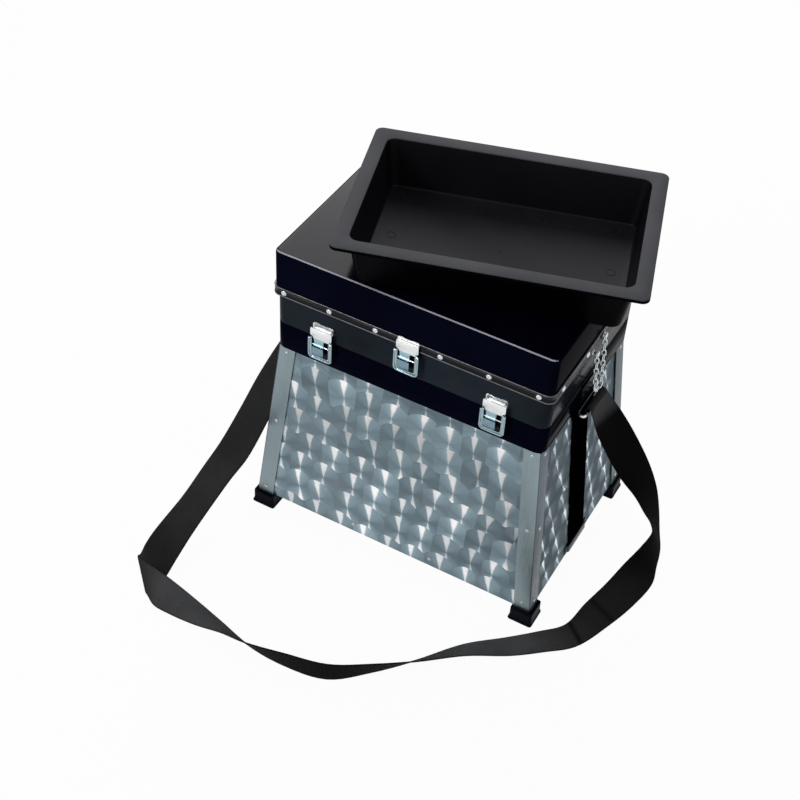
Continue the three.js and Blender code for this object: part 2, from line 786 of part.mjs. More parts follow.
function ringBracket(side) {
  const inner = tierHalfWidth + fit;
  const curlRadius = ringWire + fit;
  const profile = new THREE.Shape();
  const centreX = ringInnerX;
  const outerRadius = curlRadius + bracketSheet;
  profile.moveTo(inner, ringHeight + bracketHeight);
  profile.lineTo(inner, ringHeight);
  profile.lineTo(centreX - outerRadius, ringHeight);
  profile.absarc(centreX, ringHeight, outerRadius, Math.PI, Math.PI * 2 * curlTurns, false);
  profile.absarc(centreX, ringHeight, curlRadius, Math.PI * 2 * curlTurns, Math.PI, true);
  profile.lineTo(inner + bracketSheet, ringHeight + outerRadius);
  profile.lineTo(inner + bracketSheet, ringHeight + bracketHeight);
  profile.closePath();
  const sheet = new THREE.ExtrudeGeometry(profile, {
    depth: bracketWidth, bevelEnabled: false, curveSegments: 6,
  });
  sheet.rotateX(Math.PI / 2);
  sheet.translate(0, bracketWidth / 2, 0);
  const heads = [-1, 1].map((hand) => rivet(
    vector(
      inner + bracketSheet, hand * bracketWidth * bracketRivetShare,
      ringHeight + (bracketHeight + outerRadius) / 2,
    ),
    vector(1, 0, 0), smallRivetRadius, smallRivetRise,
  ));
  const bracket = join(sheet, ...heads);
  if (side < 0) bracket.rotateZ(Math.PI);
  bracket.translate(0, ringShift, 0);
  return bracket;
}

function baseKeeper(side) {
  const run = webWidth / 2 + keeperSlack;
  const back = keeperPanelX + fit;
  const front = back + webThickness + fit;
  const z0 = -keeperWidth / 2;
  const z1 = keeperWidth / 2;
  const bridge = join(
    block(back, back + keeperSheet, -keeperLength / 2, -run, z0, z1),
    block(back, back + keeperSheet, run, keeperLength / 2, z0, z1),
    block(back, front + keeperSheet, -run - keeperSheet, -run, z0, z1),
    block(back, front + keeperSheet, run, run + keeperSheet, z0, z1),
    block(front, front + keeperSheet, -run - keeperSheet, run + keeperSheet, z0, z1),
    ...[-1, 1].map((hand) => rivet(
      vector(back + keeperSheet, hand * (keeperLength / 2 - keeperSheet * 3), 0),
      vector(1, 0, 0), keeperWidth * keeperRivetShare, smallRivetRise,
    )),
  );
  bridge.translate(-keeperPanelX, 0, 0);
  bridge.rotateY(-Math.atan(splayX));
  bridge.translate(keeperPanelX, 0, keeperHeight);
  if (side < 0) bridge.rotateZ(Math.PI);
  return bridge;
}

// The webbing under the box, up both sides on the panels and out to the rings
function heldWebbing() {
  const lie = fit + webThickness / 2;
  const onPanel = (z) => postX(z) - panelSet + lie;
  const endHeight = ringHeight - ringDroop - ringWire - fit;
  const low = panelBottom - fit - webThickness / 2;
  const bendHeight = endHeight - webBend - webThickness * 2;
  const clearHeight = endHeight - webClear;
  const half = [
    [ringOuterX, endHeight],
    [ringOuterX - webThickness / 4, endHeight - webThickness],
    [(ringOuterX * 2 + onPanel(bendHeight)) / 3, endHeight - webBend / 2],
    [(ringOuterX + onPanel(bendHeight) * 2) / 3, endHeight - webBend],
    [onPanel(bendHeight), bendHeight],
    [onPanel(clearHeight), clearHeight],
    [onPanel(keeperHeight + keeperWidth), keeperHeight + keeperWidth],
    [onPanel(keeperHeight), keeperHeight],
    [onPanel(panelBottom), panelBottom + fit],
    [onPanel(panelBottom) - webThickness / 4, panelBottom - webThickness / 2],
    [onPanel(panelBottom) - webThickness, low],
  ];
  const lean = (z) => -webLean * Math.max(z - keeperHeight - keeperWidth, 0) / (endHeight - keeperHeight);
  const line = [...half, ...half.slice().reverse().map(([x, z]) => [-x, z])];
  return band(line.map(([x, z]) => [
    vector(x, lean(z) - webWidth / 2, z), vector(x, lean(z) + webWidth / 2, z),
  ]), webThickness);
}

for (const [place, side] of [['left', -1], ['right', 1]]) {
  addPiece(`strap_ring_${place}`, strapRing(side), nickel);
  addPiece(`ring_bracket_${place}`, ringBracket(side), blackMoulding);
  addPiece(`base_keeper_${place}`, baseKeeper(side), drawnAluminium);
}
addPiece('held_webbing', heldWebbing(), webbing);

// Stay chain: oval links along a hanging loop, each turned a quarter from the last
function chainLink(centre, along, face) {
  const side = new THREE.Vector3().crossVectors(along, face).normalize();
  const straight = (linkLength - linkWidth) / 2;
  const round = linkWidth / 2 - chainWire;
  const points = [];
  for (const end of [1, -1]) {
    for (let step = 0; step <= 4; step += 1) {
      const angle = step / 4 * Math.PI;
      points.push(centre.clone()
        .addScaledVector(along, end * (straight + round * Math.sin(angle)))
        .addScaledVector(side, end * round * Math.cos(angle)));
    }
  }
  return wireLoop(points, chainWire, face, 6);
}

const chainX = tierHalfWidth + chainStand;
const chainLidHeight = lidBottom + chainLidRise;
const chainTierHeight = tierTop - chainTierDrop;
function stayChain() {
  const bow = (chainLidY - chainTierY) / 2;
  const lowest = rimBottom + chainLow + bow + linkPitch / 2;
  const eyeDrop = (linkLength - linkWidth) / 2 + linkWidth / 2 - chainWire * 2 - eyeNeckRadius - fit * 2;
  const path = new THREE.CurvePath();
  const at = (y, z) => vector(chainX + chainLean, y, z);
  const below = (y, z) => vector(chainX, y, z - eyeDrop);
  path.add(new THREE.LineCurve3(below(chainLidY, chainLidHeight), at(chainLidY, lowest)));
  const middleY = (chainLidY + chainTierY) / 2;
  const reach = bow * 4 / 3;
  path.add(new THREE.CubicBezierCurve3(
    at(chainLidY, lowest), at(middleY + bow, lowest - reach),
    at(middleY - bow, lowest - reach), at(chainTierY, lowest),
  ));
  path.add(new THREE.LineCurve3(at(chainTierY, lowest), below(chainTierY, chainTierHeight)));
  const count = Math.round(path.getLength() / linkPitch / 2) * 2;
  const outward = vector(1, 0, 0);
  const links = Array.from({ length: count + 1 }, (_, index) => {
    const share = index / count;
    const along = path.getTangentAt(share).normalize();
    const flat = index % 2 === 0;
    const face = flat ? outward : new THREE.Vector3().crossVectors(along, outward).normalize();
    return chainLink(path.getPointAt(share), along, face);
  });
  return join(...links);
}

function chainEye(y, z, wallX) {
  const neck = new THREE.Vector2(eyeNeckRadius, 0);
  const head = chainX + chainWire + fit - wallX;
  const profile = [
    [0, fit], [eyeHeadRadius, fit], [eyeHeadRadius, fit + latchSheet], [neck.x, fit + latchSheet],
    [neck.x, head], [eyeHeadRadius, head], [eyeHeadRadius * eyeDomeShares[0], head + latchSheet],
    [0, head + latchSheet * eyeDomeShares[1]],
  ];
  const eye = new THREE.LatheGeometry(profile.map(([r, h]) => new THREE.Vector2(r, h)), roundSides);
  eye.rotateZ(-Math.PI / 2);
  eye.translate(wallX, y, z);
  return eye;
}

addPiece('stay_chain', stayChain(), nickel);
addPiece('chain_eye_lid', chainEye(chainLidY, chainLidHeight, lidHalfWidth + fit + trimThickness), nickel);
addPiece('chain_eye_tier', chainEye(chainTierY, chainTierHeight, tierHalfWidth), nickel);

// Loose tray on the seat
function looseTray() {
  const ring = (inset, corner, z) => roundedRing(
    trayWidth / 2 - inset, trayDepth / 2 - inset, corner, z,
  );
  const under = trayHeight - trayWall;
  return loft([
    ring(trayFloorInset - trayWall + edgeBreak, trayInnerCorner, 0),
    ring(trayFloorInset - trayWall, trayInnerCorner + trayWall, edgeBreak),
    ring(trayFlange - trayWall, trayInnerCorner + trayWall, under),
    ring(trayLipThickness, trayCorner - trayLipThickness, under),
    ring(trayLipThickness, trayCorner - trayLipThickness, trayHeight - trayLip),
    ring(0, trayCorner, trayHeight - trayLip),
    ring(0, trayCorner, trayHeight - edgeBreak),
    ring(edgeBreak, trayCorner, trayHeight),
    ring(trayFlange - edgeBreak, trayInnerCorner + edgeBreak, trayHeight),
    ring(trayFlange, trayInnerCorner, trayHeight - edgeBreak),
    ring(trayFloorInset - edgeBreak, trayInnerCorner, trayFloor + edgeBreak),
    ring(trayFloorInset, trayInnerCorner - edgeBreak, trayFloor),
  ]);
}

const tray = addPiece('loose_tray', looseTray(), greyTray);
tray.position.set(trayX, trayY, seatHeight + fit);
tray.rotation.z = trayTurn * degree;

// Free shoulder strap: each row holds its two edges, from the right ring to the left ring
const strapRoute = [
  [[217, 25, 300], [216, -25, 300]],
  [[225, 31, 284], [219, -18, 280]],
  [[239, 38, 258], [224, -9, 252]],
  [[260, 50, 216], [240, 6, 204]],
  [[286, 65, 162], [260, 23, 153]],
  [[301, 78, 111], [279, 34, 119]],
  [[310, 85, 61], [295, 44, 85]],
  [[318, 84, 20], [308, 54, 58]],
  [[328, 66, 5], [309, 40, 45]],
  [[336, 34, 4], [307, 26, 41]],
  [[341, 2, 4], [293, 6, 15]],
  [[334, -47, 4], [285, -40, 12]],
  [[319, -104, 5], [275, -81, 3]],
  [[298, -165, 8], [266, -130, 3]],
  [[267, -201, 9], [240, -159, 3]],
  [[232, -232, 12], [206, -192, 3]],
  [[183, -270, 24], [162, -232, 3]],
  [[132, -317, 41], [119, -290, 3]],
  [[87, -355, 48], [79, -337, 3]],
  [[39, -386, 50], [33, -375, 3]],
  [[-21, -399, 47], [-32, -386, 3]],
  [[-72, -409, 43], [-85, -386, 3]],
  [[-117, -403, 29], [-139, -367, 3]],
  [[-163, -400, 14], [-182, -354, 4]],
  [[-204, -396, 7], [-219, -348, 9]],
  [[-232, -393, 6], [-247, -346, 14]],
  [[-250, -387, 6], [-287, -342, 12]],
  [[-257, -384, 4], [-303, -338, 8]],
  [[-252, -380, 3], [-300, -332, 7]],
  [[-249, -352, 2], [-300, -322, 20]],
  [[-245, -325, 24], [-296, -309, 35]],
  [[-240, -298, 50], [-290, -293, 52]],
  [[-234, -262, 76], [-283, -256, 72]],
  [[-226, -220, 104], [-276, -213, 99]],
  [[-218, -187, 120], [-268, -181, 122]],
  [[-211, -142, 155], [-260, -136, 157]],
  [[-207, -112, 186], [-254, -98, 190]],
  [[-207, -79, 215], [-247, -51, 223]],
  [[-212, -52, 246], [-236, -9, 252]],
  [[-219, -33, 276], [-225, 16, 279]],
  [[-216, -25, 300], [-217, 25, 300]],
];
const strapSteps = 2;

function shoulderStrap() {
  const edges = [0, 1].map((edge) => new THREE.CatmullRomCurve3(
    strapRoute.map((row) => vector(...row[edge])), false, 'centripetal',
  ));
  const count = (strapRoute.length - 1) * strapSteps;
  const rows = Array.from({ length: count + 1 }, (_, index) => (
    edges.map((edge) => edge.getPoint(index / count))
  ));
  return band(rows, webThickness);
}

addPiece('shoulder_strap', shoulderStrap(), webbing);

// The origin is under the middle of the box that the standing pieces fill
const standing = new THREE.Box3();
for (const piece of group.children) {
  if (piece.name !== 'shoulder_strap') standing.expandByObject(piece, true);
}
const middle = standing.getCenter(vector(0, 0, 0));
for (const piece of group.children) {
  piece.position.x -= middle.x;
  piece.position.y -= middle.y;
}

export default group;
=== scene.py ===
import math

import bmesh
import bpy
from mathutils import Matrix, Vector

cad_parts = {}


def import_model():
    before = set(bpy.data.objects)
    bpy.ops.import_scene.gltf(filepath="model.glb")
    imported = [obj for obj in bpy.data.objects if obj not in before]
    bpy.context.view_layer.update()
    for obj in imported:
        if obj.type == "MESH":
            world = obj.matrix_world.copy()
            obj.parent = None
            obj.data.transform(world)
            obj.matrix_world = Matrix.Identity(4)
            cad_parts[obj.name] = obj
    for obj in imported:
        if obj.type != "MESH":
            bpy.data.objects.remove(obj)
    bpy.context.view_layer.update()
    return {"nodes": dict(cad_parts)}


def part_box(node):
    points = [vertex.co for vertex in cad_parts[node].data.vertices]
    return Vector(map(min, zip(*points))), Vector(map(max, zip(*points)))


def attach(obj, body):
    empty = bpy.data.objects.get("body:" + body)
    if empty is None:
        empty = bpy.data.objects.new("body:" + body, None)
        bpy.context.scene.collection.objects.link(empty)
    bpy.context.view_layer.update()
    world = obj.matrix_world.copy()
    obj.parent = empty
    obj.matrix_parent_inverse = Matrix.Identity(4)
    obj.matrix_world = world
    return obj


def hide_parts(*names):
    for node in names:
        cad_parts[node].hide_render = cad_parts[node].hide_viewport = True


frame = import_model()
nodes = frame["nodes"]

# Sizes of pieces are in millimetres from the middle of the box, with z from the floor.
# Sizes in materials are in metres.
MM = 0.001
lid_low, lid_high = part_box("lid_shell")
CENTRE_X = (lid_low[0] + lid_high[0]) / 2
CENTRE_Y = (lid_low[1] + lid_high[1]) / 2
TO_FRAME = Matrix.Translation((CENTRE_X, CENTRE_Y, 0)) @ Matrix.Scale(MM, 4)


def place(x, y, z):
    return TO_FRAME @ Vector((x, y, z))


def put_in_scene(name, data):
    made = bpy.data.objects.new(name, data)
    bpy.context.scene.collection.objects.link(made)
    return made


def make_camera():
    data = bpy.data.cameras.new("camera")
    data.lens = 68.38
    data.sensor_width = 36
    data.clip_start, data.clip_end = 0.1, 60
    camera = put_in_scene("camera", data)
    right = Vector((0.87127, 0.48859, 0.04661))
    up = Vector((-0.36808, 0.58762, 0.72057))
    back = Vector((0.32467, -0.64497, 0.69181))
    turn = Matrix((right, up, back)).transposed().to_4x4()
    camera.matrix_world = Matrix.Translation(place(635.06, -1411.43, 1666.87)) @ turn
    bpy.context.scene.camera = camera


make_camera()


# Materials
NOISE_SPAN = (0.3, 0.7)  # most of a noise lies between these
GRAIN_DEPTH = 0.0002


class Value:
    """What an output in a shader tree gives. Its + - * / are Math nodes."""

    def __init__(self, look, output):
        self.look, self.output = look, output

    def __add__(self, other):
        return self.look.math("ADD", self, other)

    def __sub__(self, other):
        return self.look.math("SUBTRACT", self, other)

    def __mul__(self, other):
        return self.look.math("MULTIPLY", self, other)

    def __truediv__(self, other):
        return self.look.math("DIVIDE", self, other)


class Nodes:
    """Short names for the nodes of one shader tree."""

    def __init__(self, owner):
        owner.use_nodes = True
        self.tree = owner.node_tree
        self.tree.nodes.clear()

    def node(self, kind, **settings):
        made = self.tree.nodes.new(f"ShaderNode{kind}")
        for key, value in settings.items():
            setattr(made, key, value)
        return made

    def feed(self, socket, value):
        if isinstance(value, Value):
            self.tree.links.new(value.output, socket)
        else:
            socket.default_value = value

    def filled(self, kind, values, output=0, **settings):
        """One output of a node whose inputs take the values, by number or name."""
        made = self.node(kind, **settings)
        for key, value in values.items():
            self.feed(made.inputs[key], value)
        return Value(self, made.outputs[output])

    def math(self, operation, *values):
        return self.filled("Math", dict(enumerate(values)), operation=operation)

    def mix_number(self, share, first, second):
        return self.filled("Mix", {0: share, 2: first, 3: second})

    def mix_color(self, share, first, second):
        return self.filled("Mix", {0: share, 6: first, 7: second}, 2, data_type="RGBA")

    def clouded(self, cloud, color, vary):
        """The colour, darker and paler by vary along the noise."""
        share = self.remap(cloud, *NOISE_SPAN)
        return self.mix_color(share, rgba(color, 1 - vary), rgba(color, 1 + vary))

    def varied(self, cloud, middle, vary):
        return self.remap(cloud, *NOISE_SPAN, middle * (1 - vary), middle * (1 + vary))

    def scale_color(self, color, share):
        return self.filled("VectorMath", {0: color, "Scale": share}, operation="SCALE")

    def remap(self, value, low, high, to_low=0.0, to_high=1.0, smooth=False):
        values = dict(enumerate((value, low, high, to_low, to_high)))
        kind = "SMOOTHSTEP" if smooth else "LINEAR"
        return self.filled("MapRange", values, interpolation_type=kind)

    def coordinates(self, scale=(1, 1, 1), turn=(0, 0, 0)):
        where = self.filled("TexCoord", {}, "Object")
        return self.filled("Mapping", {0: where, "Scale": scale, "Rotation": turn})

    def split(self, kind):
        made = self.node("SeparateXYZ")
        self.feed(made.inputs[0], self.filled("TexCoord", {}, kind))
        return [Value(self, output) for output in made.outputs]

    def noise(self, where, scale, detail=3.0, rough=0.55):
        values = {"Vector": where, "Scale": scale, "Detail": detail, "Roughness": rough}
        return self.filled("TexNoise", values)

    def ramp(self, value, stops):
        """A curve through (place, height) stops, as a number."""
        made = self.node("ValToRGB")
        reach, peak = stops[-1][0], max(height for _, height in stops)
        elements = made.color_ramp.elements
        while len(elements) < len(stops):
            elements.new(0.5)
        for element, (spot, _) in zip(elements, stops):
            element.position = spot / reach
        for element, (_, height) in zip(elements, stops):
            element.color = (height / peak,) * 3 + (1,)
        self.feed(made.inputs[0], value / reach)
        return Value(self, made.outputs[0]) * peak

    def white_where_seen(self, kind, share, shown, output):
        """Lets the camera, gloss and glass see a share of plain white in place of what is shown."""
        ray = self.node("LightPath").outputs
        camera, gloss, glass = (
            Value(self, ray[f"Is {sort} Ray"]) for sort in ("Camera", "Glossy", "Transmission")
        )
        seen = self.math("MAXIMUM", self.math("MAXIMUM", camera, gloss), glass)
        white = self.filled(kind, {0: (1, 1, 1, 1), 1: 1.0})
        self.feed(output.inputs[0], self.filled("MixShader", {0: seen * share, 1: shown, 2: white}))


class Surface(Nodes):
    """A new material with one Principled surface."""

    def __init__(self, name):
        self.material = bpy.data.materials.new(name)
        super().__init__(self.material)
        self.output = self.node("OutputMaterial")
        self.principled = self.node("BsdfPrincipled")
        self.shader = Value(self, self.principled.outputs[0])
        self.feed(self.output.inputs[0], self.shader)

    def set(self, values):
        for key, value in values.items():
            self.feed(self.principled.inputs[key], value)

    def bump(self, height, strength, distance):
        values = {"Strength": strength, "Distance": distance, "Height": height}
        self.set({"Normal": self.filled("Bump", values)})


def rgba(color, gain=1.0):
    return tuple(min(c * gain, 1.0) for c in color) + (1.0,)


def moulded(name, color, rough, specular, grain, scale, vary, scuff):
    """Moulded plastic or rubber: fine grain, faint clouding and scuffs."""
    look = Surface(name)
    where = look.coordinates()
    cloud = look.noise(where, 9, 4)
    streaks = look.noise(look.coordinates((60, 9, 40), (0.3, 0.2, 0.6)), 3, 5, 0.7)
    worn = look.remap(streaks, 0.6, 0.78, 0, 1, True) * scuff
    base = look.clouded(cloud, color, vary)
    look.set({
        "Base Color": look.mix_color(worn, base, rgba(color, 2.5)),
        "Roughness": look.varied(cloud, rough, 0.12) + worn,
        "Specular IOR Level": specular,
    })
    look.bump(look.noise(where, scale, 2), grain, GRAIN_DEPTH)
    return look.material


def brushed(name, color, rough, stretch, vary, grain):
    """Metal with fine lines along one way."""
    look = Surface(name)
    lines = look.noise(look.coordinates(stretch), 1.0, 4, 0.6)
    cloud = look.noise(look.coordinates(), 14, 3)
    base = look.clouded(lines, color, vary)
    cloudy = look.remap(cloud, 0.25, 0.75, 0, 0.3)
    look.set({
        "Base Color": look.mix_color(cloudy, base, rgba(color, 0.72)),
        "Roughness": look.varied(lines, rough, 0.15),
        "Metallic": 1.0,
    })
    look.bump(lines, grain, GRAIN_DEPTH)
    return look.material


# Engine-turned sheet: overlapping round swirls, each row laid over the one above it, with painted
# highlights and painted shade on each swirl
SWIRL_ACROSS, SWIRL_DOWN = 0.0400, 0.0392
SWIRL_RADIUS = 0.0285
SWIRL_LEAN = 0.0139
SWIRL_STRAY = 0.004
SCRATCH_RATE = 7200.0
SHEET_COLOR = (0.205, 0.278, 0.318)
SMUDGE_COLOR = (0.15, 0.16, 0.19)


def swirls(look, u, v, seed, chained):
    """The swirl that lies on top at a spot: the way from its middle, and its own tone."""
    def chance(row, column, salt):
        cell = look.filled("CombineXYZ", {0: row, 1: column, 2: salt + seed})
        return look.filled("TexWhiteNoise", {0: cell}, noise_dimensions="3D")

    row_here = look.math("FLOOR", v / SWIRL_DOWN)
    best = None
    # The swirl of this row, then the one of the row below, which lies on top
    for row_step in (0.0, -1.0):
        row = row_here + row_step
        slide = chance(row, 3.0, 1.0) * (SWIRL_ACROSS * (1 - chained))
        along = u - (slide - row * (SWIRL_LEAN * chained))
        column = look.math("FLOOR", along / SWIRL_ACROSS)
        stray = look.remap(chance(row, column, 2.0), 0, 1, -SWIRL_STRAY, SWIRL_STRAY)
        du = along - (column + 0.5) * SWIRL_ACROSS - stray
        dv = v - (row + 0.5) * SWIRL_DOWN - stray
        far = look.math("SQRT", du * du + dv * dv)
        found = {"du": du, "dv": dv, "tone": chance(row, column, 4.0), "far": far}
        if best is None:
            best = found
        else:
            inside = look.math("LESS_THAN", far, SWIRL_RADIUS)
            best = {key: look.mix_number(inside, best[key], found[key]) for key in best}
    return best["du"], best["dv"], best["tone"], best["far"]


def engine_turned(
    name, across, seed, lean_u, lean_v, sharp, gain, chained=0.0, painted_highlight_and_specular_tint=(1, 1, 1, 1)
):
    """Each swirl shows two painted highlight wedges that lean by (lean_u, lean_v), and a faint
    painted fan of light round them.
    """
    look = Surface(name)
    spot, where = look.split("Object"), look.coordinates()
    warp = look.noise(where, 9, 2, 0.5)
    u = spot[across] + look.remap(warp, *NOISE_SPAN, -0.005, 0.005)
    v = spot[2] + look.remap(warp, *NOISE_SPAN, 0.004, -0.004)
    du, dv, luck, far = swirls(look, u, v, seed, chained)
    share = far / SWIRL_RADIUS
    radius = look.math("MAXIMUM", far, 0.0001)

    lean = look.math("ABSOLUTE", (dv * lean_v + du * lean_u) / radius)
    lean = lean + look.remap(look.noise(where, 170, 3, 0.6), 0.2, 0.8, -0.008, 0.008)
    # Painted highlight: along these wedges the base colour turns to the highlight tint, where a
    # lamp's streak would lie
    painted_highlight_wedge = (
        look.remap(lean, sharp, 1.0 - (1.0 - sharp) * 0.15, 0, 1, True)
        * look.remap(luck, 0.0, 0.75, 0.5, 1.0)
        * look.remap(share, 0.0, 0.6, 0.5, 1.0)
    )
    painted_fan_sheen = look.remap(lean, 0.86, 1.0, 0, 1, True) * look.remap(luck, 0.2, 1.0, 0.0, 0.16, True)
    painted_highlight_wedge = look.math("MAXIMUM", painted_highlight_wedge, painted_fan_sheen)

    rings = look.math("SINE", far * SCRATCH_RATE) * 0.5
    ring_noise = look.noise(where, 260, 4, 0.7)
    upright = look.math("ABSOLUTE", dv) / radius
    # Beside the random tone and the scratch rings, the tone paints light near each swirl's upright
    # axis and shade at its sides, and is darker at its rim
    tone = (
        look.remap(luck, 0, 1, 0.72, 1.2)
        * look.remap(rings + ring_noise, -0.2, 1.2, 0.95, 1.05)
        * look.remap(share, 0.93, 1.0, 1.0, 0.8, True)
        * look.remap(upright, 0.15, 1.0, 0.78, 1.22, True)
    )
    # A gain below 1 paints shade over the whole sheet
    plain = look.scale_color(tuple(gain * part for part in SHEET_COLOR), tone)
    base = look.mix_color(painted_highlight_wedge, plain, painted_highlight_and_specular_tint)
    smudge = look.remap(look.noise(where, 11, 4, 0.6), 0.52, 0.75, 0, 0.3, True)
    smudge_color = tuple(gain * part for part in SMUDGE_COLOR) + (1,)

    # The scratches run round each swirl, so the sheen spreads out from its middle
    scratch = look.filled("CombineXYZ", {across: dv * -1.0, 2: du})
    look.set({
        "Base Color": look.mix_color(smudge, base, smudge_color),
        "Roughness": look.mix_number(painted_highlight_wedge, look.remap(luck, 0, 1, 0.34, 0.44), 0.28),
        "Metallic": 1.0,
        "Specular Tint": painted_highlight_and_specular_tint,
        "Anisotropic": 0.8,
        "Tangent": look.filled("VectorMath", {0: scratch}, operation="NORMALIZE"),
    })
    look.bump(ring_noise, 0.08, 0.0001)
    return look.material


WEB_WIDTH = 0.05
RIB_PITCH, THREAD_PITCH = 0.0019, 0.0016


def woven(name, color, painted_light_and_seams=None, gloss=0.02):
    """Flat webbing: fine ribs across, threads along, a firmer woven edge."""
    look = Surface(name)
    along, across = look.split("UV")[:2]
    ribs = look.math("SINE", along * (2 * math.pi / RIB_PITCH))
    threads = look.math("SINE", across * (2 * math.pi / THREAD_PITCH))
    weave = ribs * 0.6 + ribs * threads * 0.5
    cloud = look.varied(look.noise(look.coordinates(), 18, 4), 1.0, 0.15)
    lit = look.remap(weave, -1, 1, 0.7, 1.25) * cloud
    # Painted light and shade along the strap's length, with the dips of its seams
    if painted_light_and_seams:
        lit = lit * look.ramp(along, painted_light_and_seams)
    from_middle = look.math("ABSOLUTE", across - WEB_WIDTH / 2)
    edge = look.remap(from_middle, 0.0222, 0.0236, 0, 0.45, True)
    look.set({
        "Base Color": look.mix_color(edge, look.scale_color(color, lit), rgba(color, 0.45)),
        "Roughness": 0.8,
        "Specular IOR Level": gloss,
        "Sheen Weight": gloss,
        "Sheen Roughness": 0.5,
    })
    fuzz = look.noise(look.coordinates(), 1500, 2) * 0.5
    look.bump(weave + fuzz, 0.55, 0.0004)
    return look.material


# Name, colour, roughness, specular, then the grain's strength and scale, clouding, scuffs
BLACK_LID = moulded("black_lid", (0.0026, 0.0034, 0.0115), 0.12, 0.002, 0.02, 500, 0.3, 0.02)
BLACK_LID_TOP = moulded("black_lid_top", (0.0013, 0.0014, 0.006), 0.13, 0.1, 0.02, 500, 0.2, 0.02)
# A light copy for the lid's front top edge only: a painted highlight
LID_EDGE_PAINTED_HIGHLIGHT = moulded("lid_edge_painted_highlight", (0.42, 0.42, 0.48), 0.25, 0.8, 0.02, 500, 0.2, 0.02)
BLACK_TIER = moulded("black_tier", (0.0205, 0.0275, 0.0355), 0.16, 0.006, 0.03, 1100, 0.3, 0.05)
BLACK_RIM = moulded("black_rim", (0.002, 0.0027, 0.0095), 0.12, 0.002, 0.03, 1100, 0.3, 0.05)
BLACK_TRIM = moulded("black_trim", (0.007, 0.007, 0.01), 0.25, 0.1, 0.04, 900, 0.3, 0.06)
BLACK_STEEL = moulded("black_steel", (0.002, 0.002, 0.004), 0.3, 0.05, 0.05, 700, 0.3, 0.1)
GREY_TRAY = moulded("grey_tray", (0.0042, 0.0042, 0.0062), 0.34, 0.1, 0.14, 1300, 0.2, 0.05)
# Lit and shaded copies of the tray's plastic: the flange and the floor take painted light, the
# outside faces painted shade
TRAY_FLANGE_PAINTED_LIGHT = moulded(
    "tray_flange_painted_light", (0.094, 0.0945, 0.102), 0.42, 0.012, 0.14, 1300, 0.15, 0.05
)
TRAY_OUTSIDE_PAINTED_SHADE = moulded(
    "tray_outside_painted_shade", (0.0008, 0.0008, 0.0016), 0.4, 0.01, 0.14, 1300, 0.15, 0.05
)
TRAY_FLOOR_PAINTED_LIGHT = moulded("tray_floor_painted_light", (0.014, 0.014, 0.0178), 0.38, 0.055, 0.14, 1300, 0.25, 0.05)
RUBBER = moulded("boot_rubber", (0.003, 0.0038, 0.0085), 0.4, 0.03, 0.3, 700, 0.3, 0.15)
PLY = moulded("floor_board", (0.33, 0.22, 0.12), 0.7, 0.3, 0.3, 120, 0.25, 0.1)

# Name, colour, roughness, the lines' stretch, clouding and the grain's strength
UPRIGHT, LYING, EVEN = (420, 420, 6), (420, 6, 420), (160, 160, 160)
TRIM_EDGE = brushed("trim_edge", (0.12, 0.12, 0.135), 0.34, (90, 90, 90), 0.3, 0.05)
# A dark copy of the aluminium for the keepers: painted shade
KEEPER_PAINTED_SHADE = brushed("drawn_aluminium_painted_shade", (0.06, 0.075, 0.085), 0.4, LYING, 0.1, 0.08)
# A darker copy for the posts' side faces: painted shade
POST_SIDE_PAINTED_SHADE = brushed("drawn_aluminium_side_painted_shade", (0.1, 0.128, 0.148), 0.42, UPRIGHT, 0.1, 0.08)
POST = brushed("drawn_aluminium", (0.262, 0.328, 0.352), 0.42, UPRIGHT, 0.1, 0.08)
RING_STEEL = brushed("ring_steel", (0.05, 0.07, 0.1), 0.2, EVEN, 0.2, 0.05)
NICKEL = brushed("nickel", (0.62, 0.66, 0.68), 0.14, EVEN, 0.08, 0.03)
# A near-white copy of nickel for the claw heads and catches: a painted highlight
NICKEL_PAINTED_HIGHLIGHT = brushed("nickel_painted_highlight", (0.86, 0.88, 0.88), 0.36, EVEN, 0.04, 0.01)
# A darker bluish copy of nickel for the lever frames: painted shade and reflection
NICKEL_PAINTED_BLUE_SHADE = brushed("nickel_painted_blue_shade", (0.33, 0.43, 0.47), 0.16, EVEN, 0.12, 0.03)
# A pale bluish copy of nickel for the claw tongues: painted shade
NICKEL_PAINTED_PALE_SHADE = brushed("nickel_painted_pale_shade", (0.4, 0.56, 0.63), 0.32, EVEN, 0.1, 0.03)
NICKEL_SHADE = brushed("nickel_shade", (0.2, 0.3, 0.36), 0.22, EVEN, 0.2, 0.05)
# A near-black copy of nickel for the latch bases: painted shade
NICKEL_PAINTED_DEEP_SHADE = brushed("nickel_painted_deep_shade", (0.012, 0.014, 0.02), 0.3, EVEN, 0.1, 0.05)
NICKEL_DULL = brushed("nickel_dull", (0.42, 0.46, 0.48), 0.24, (260, 260, 40), 0.15, 0.06)

# The short side sheets are a shaded copy: gain 0.24 paints shade on them, and their painted
# highlights are bluish
TURNED_X = engine_turned("turned_sheet_long", 0, 0.0, -0.05, 0.999, 0.963, 1.0)
TURNED_Y_PAINTED_SHADE = engine_turned(
    "turned_sheet_short_painted_shade", 1, 20.0, 0.335, -0.942, 0.986, 0.24, 0.85, (0.87, 0.95, 1, 1)
)

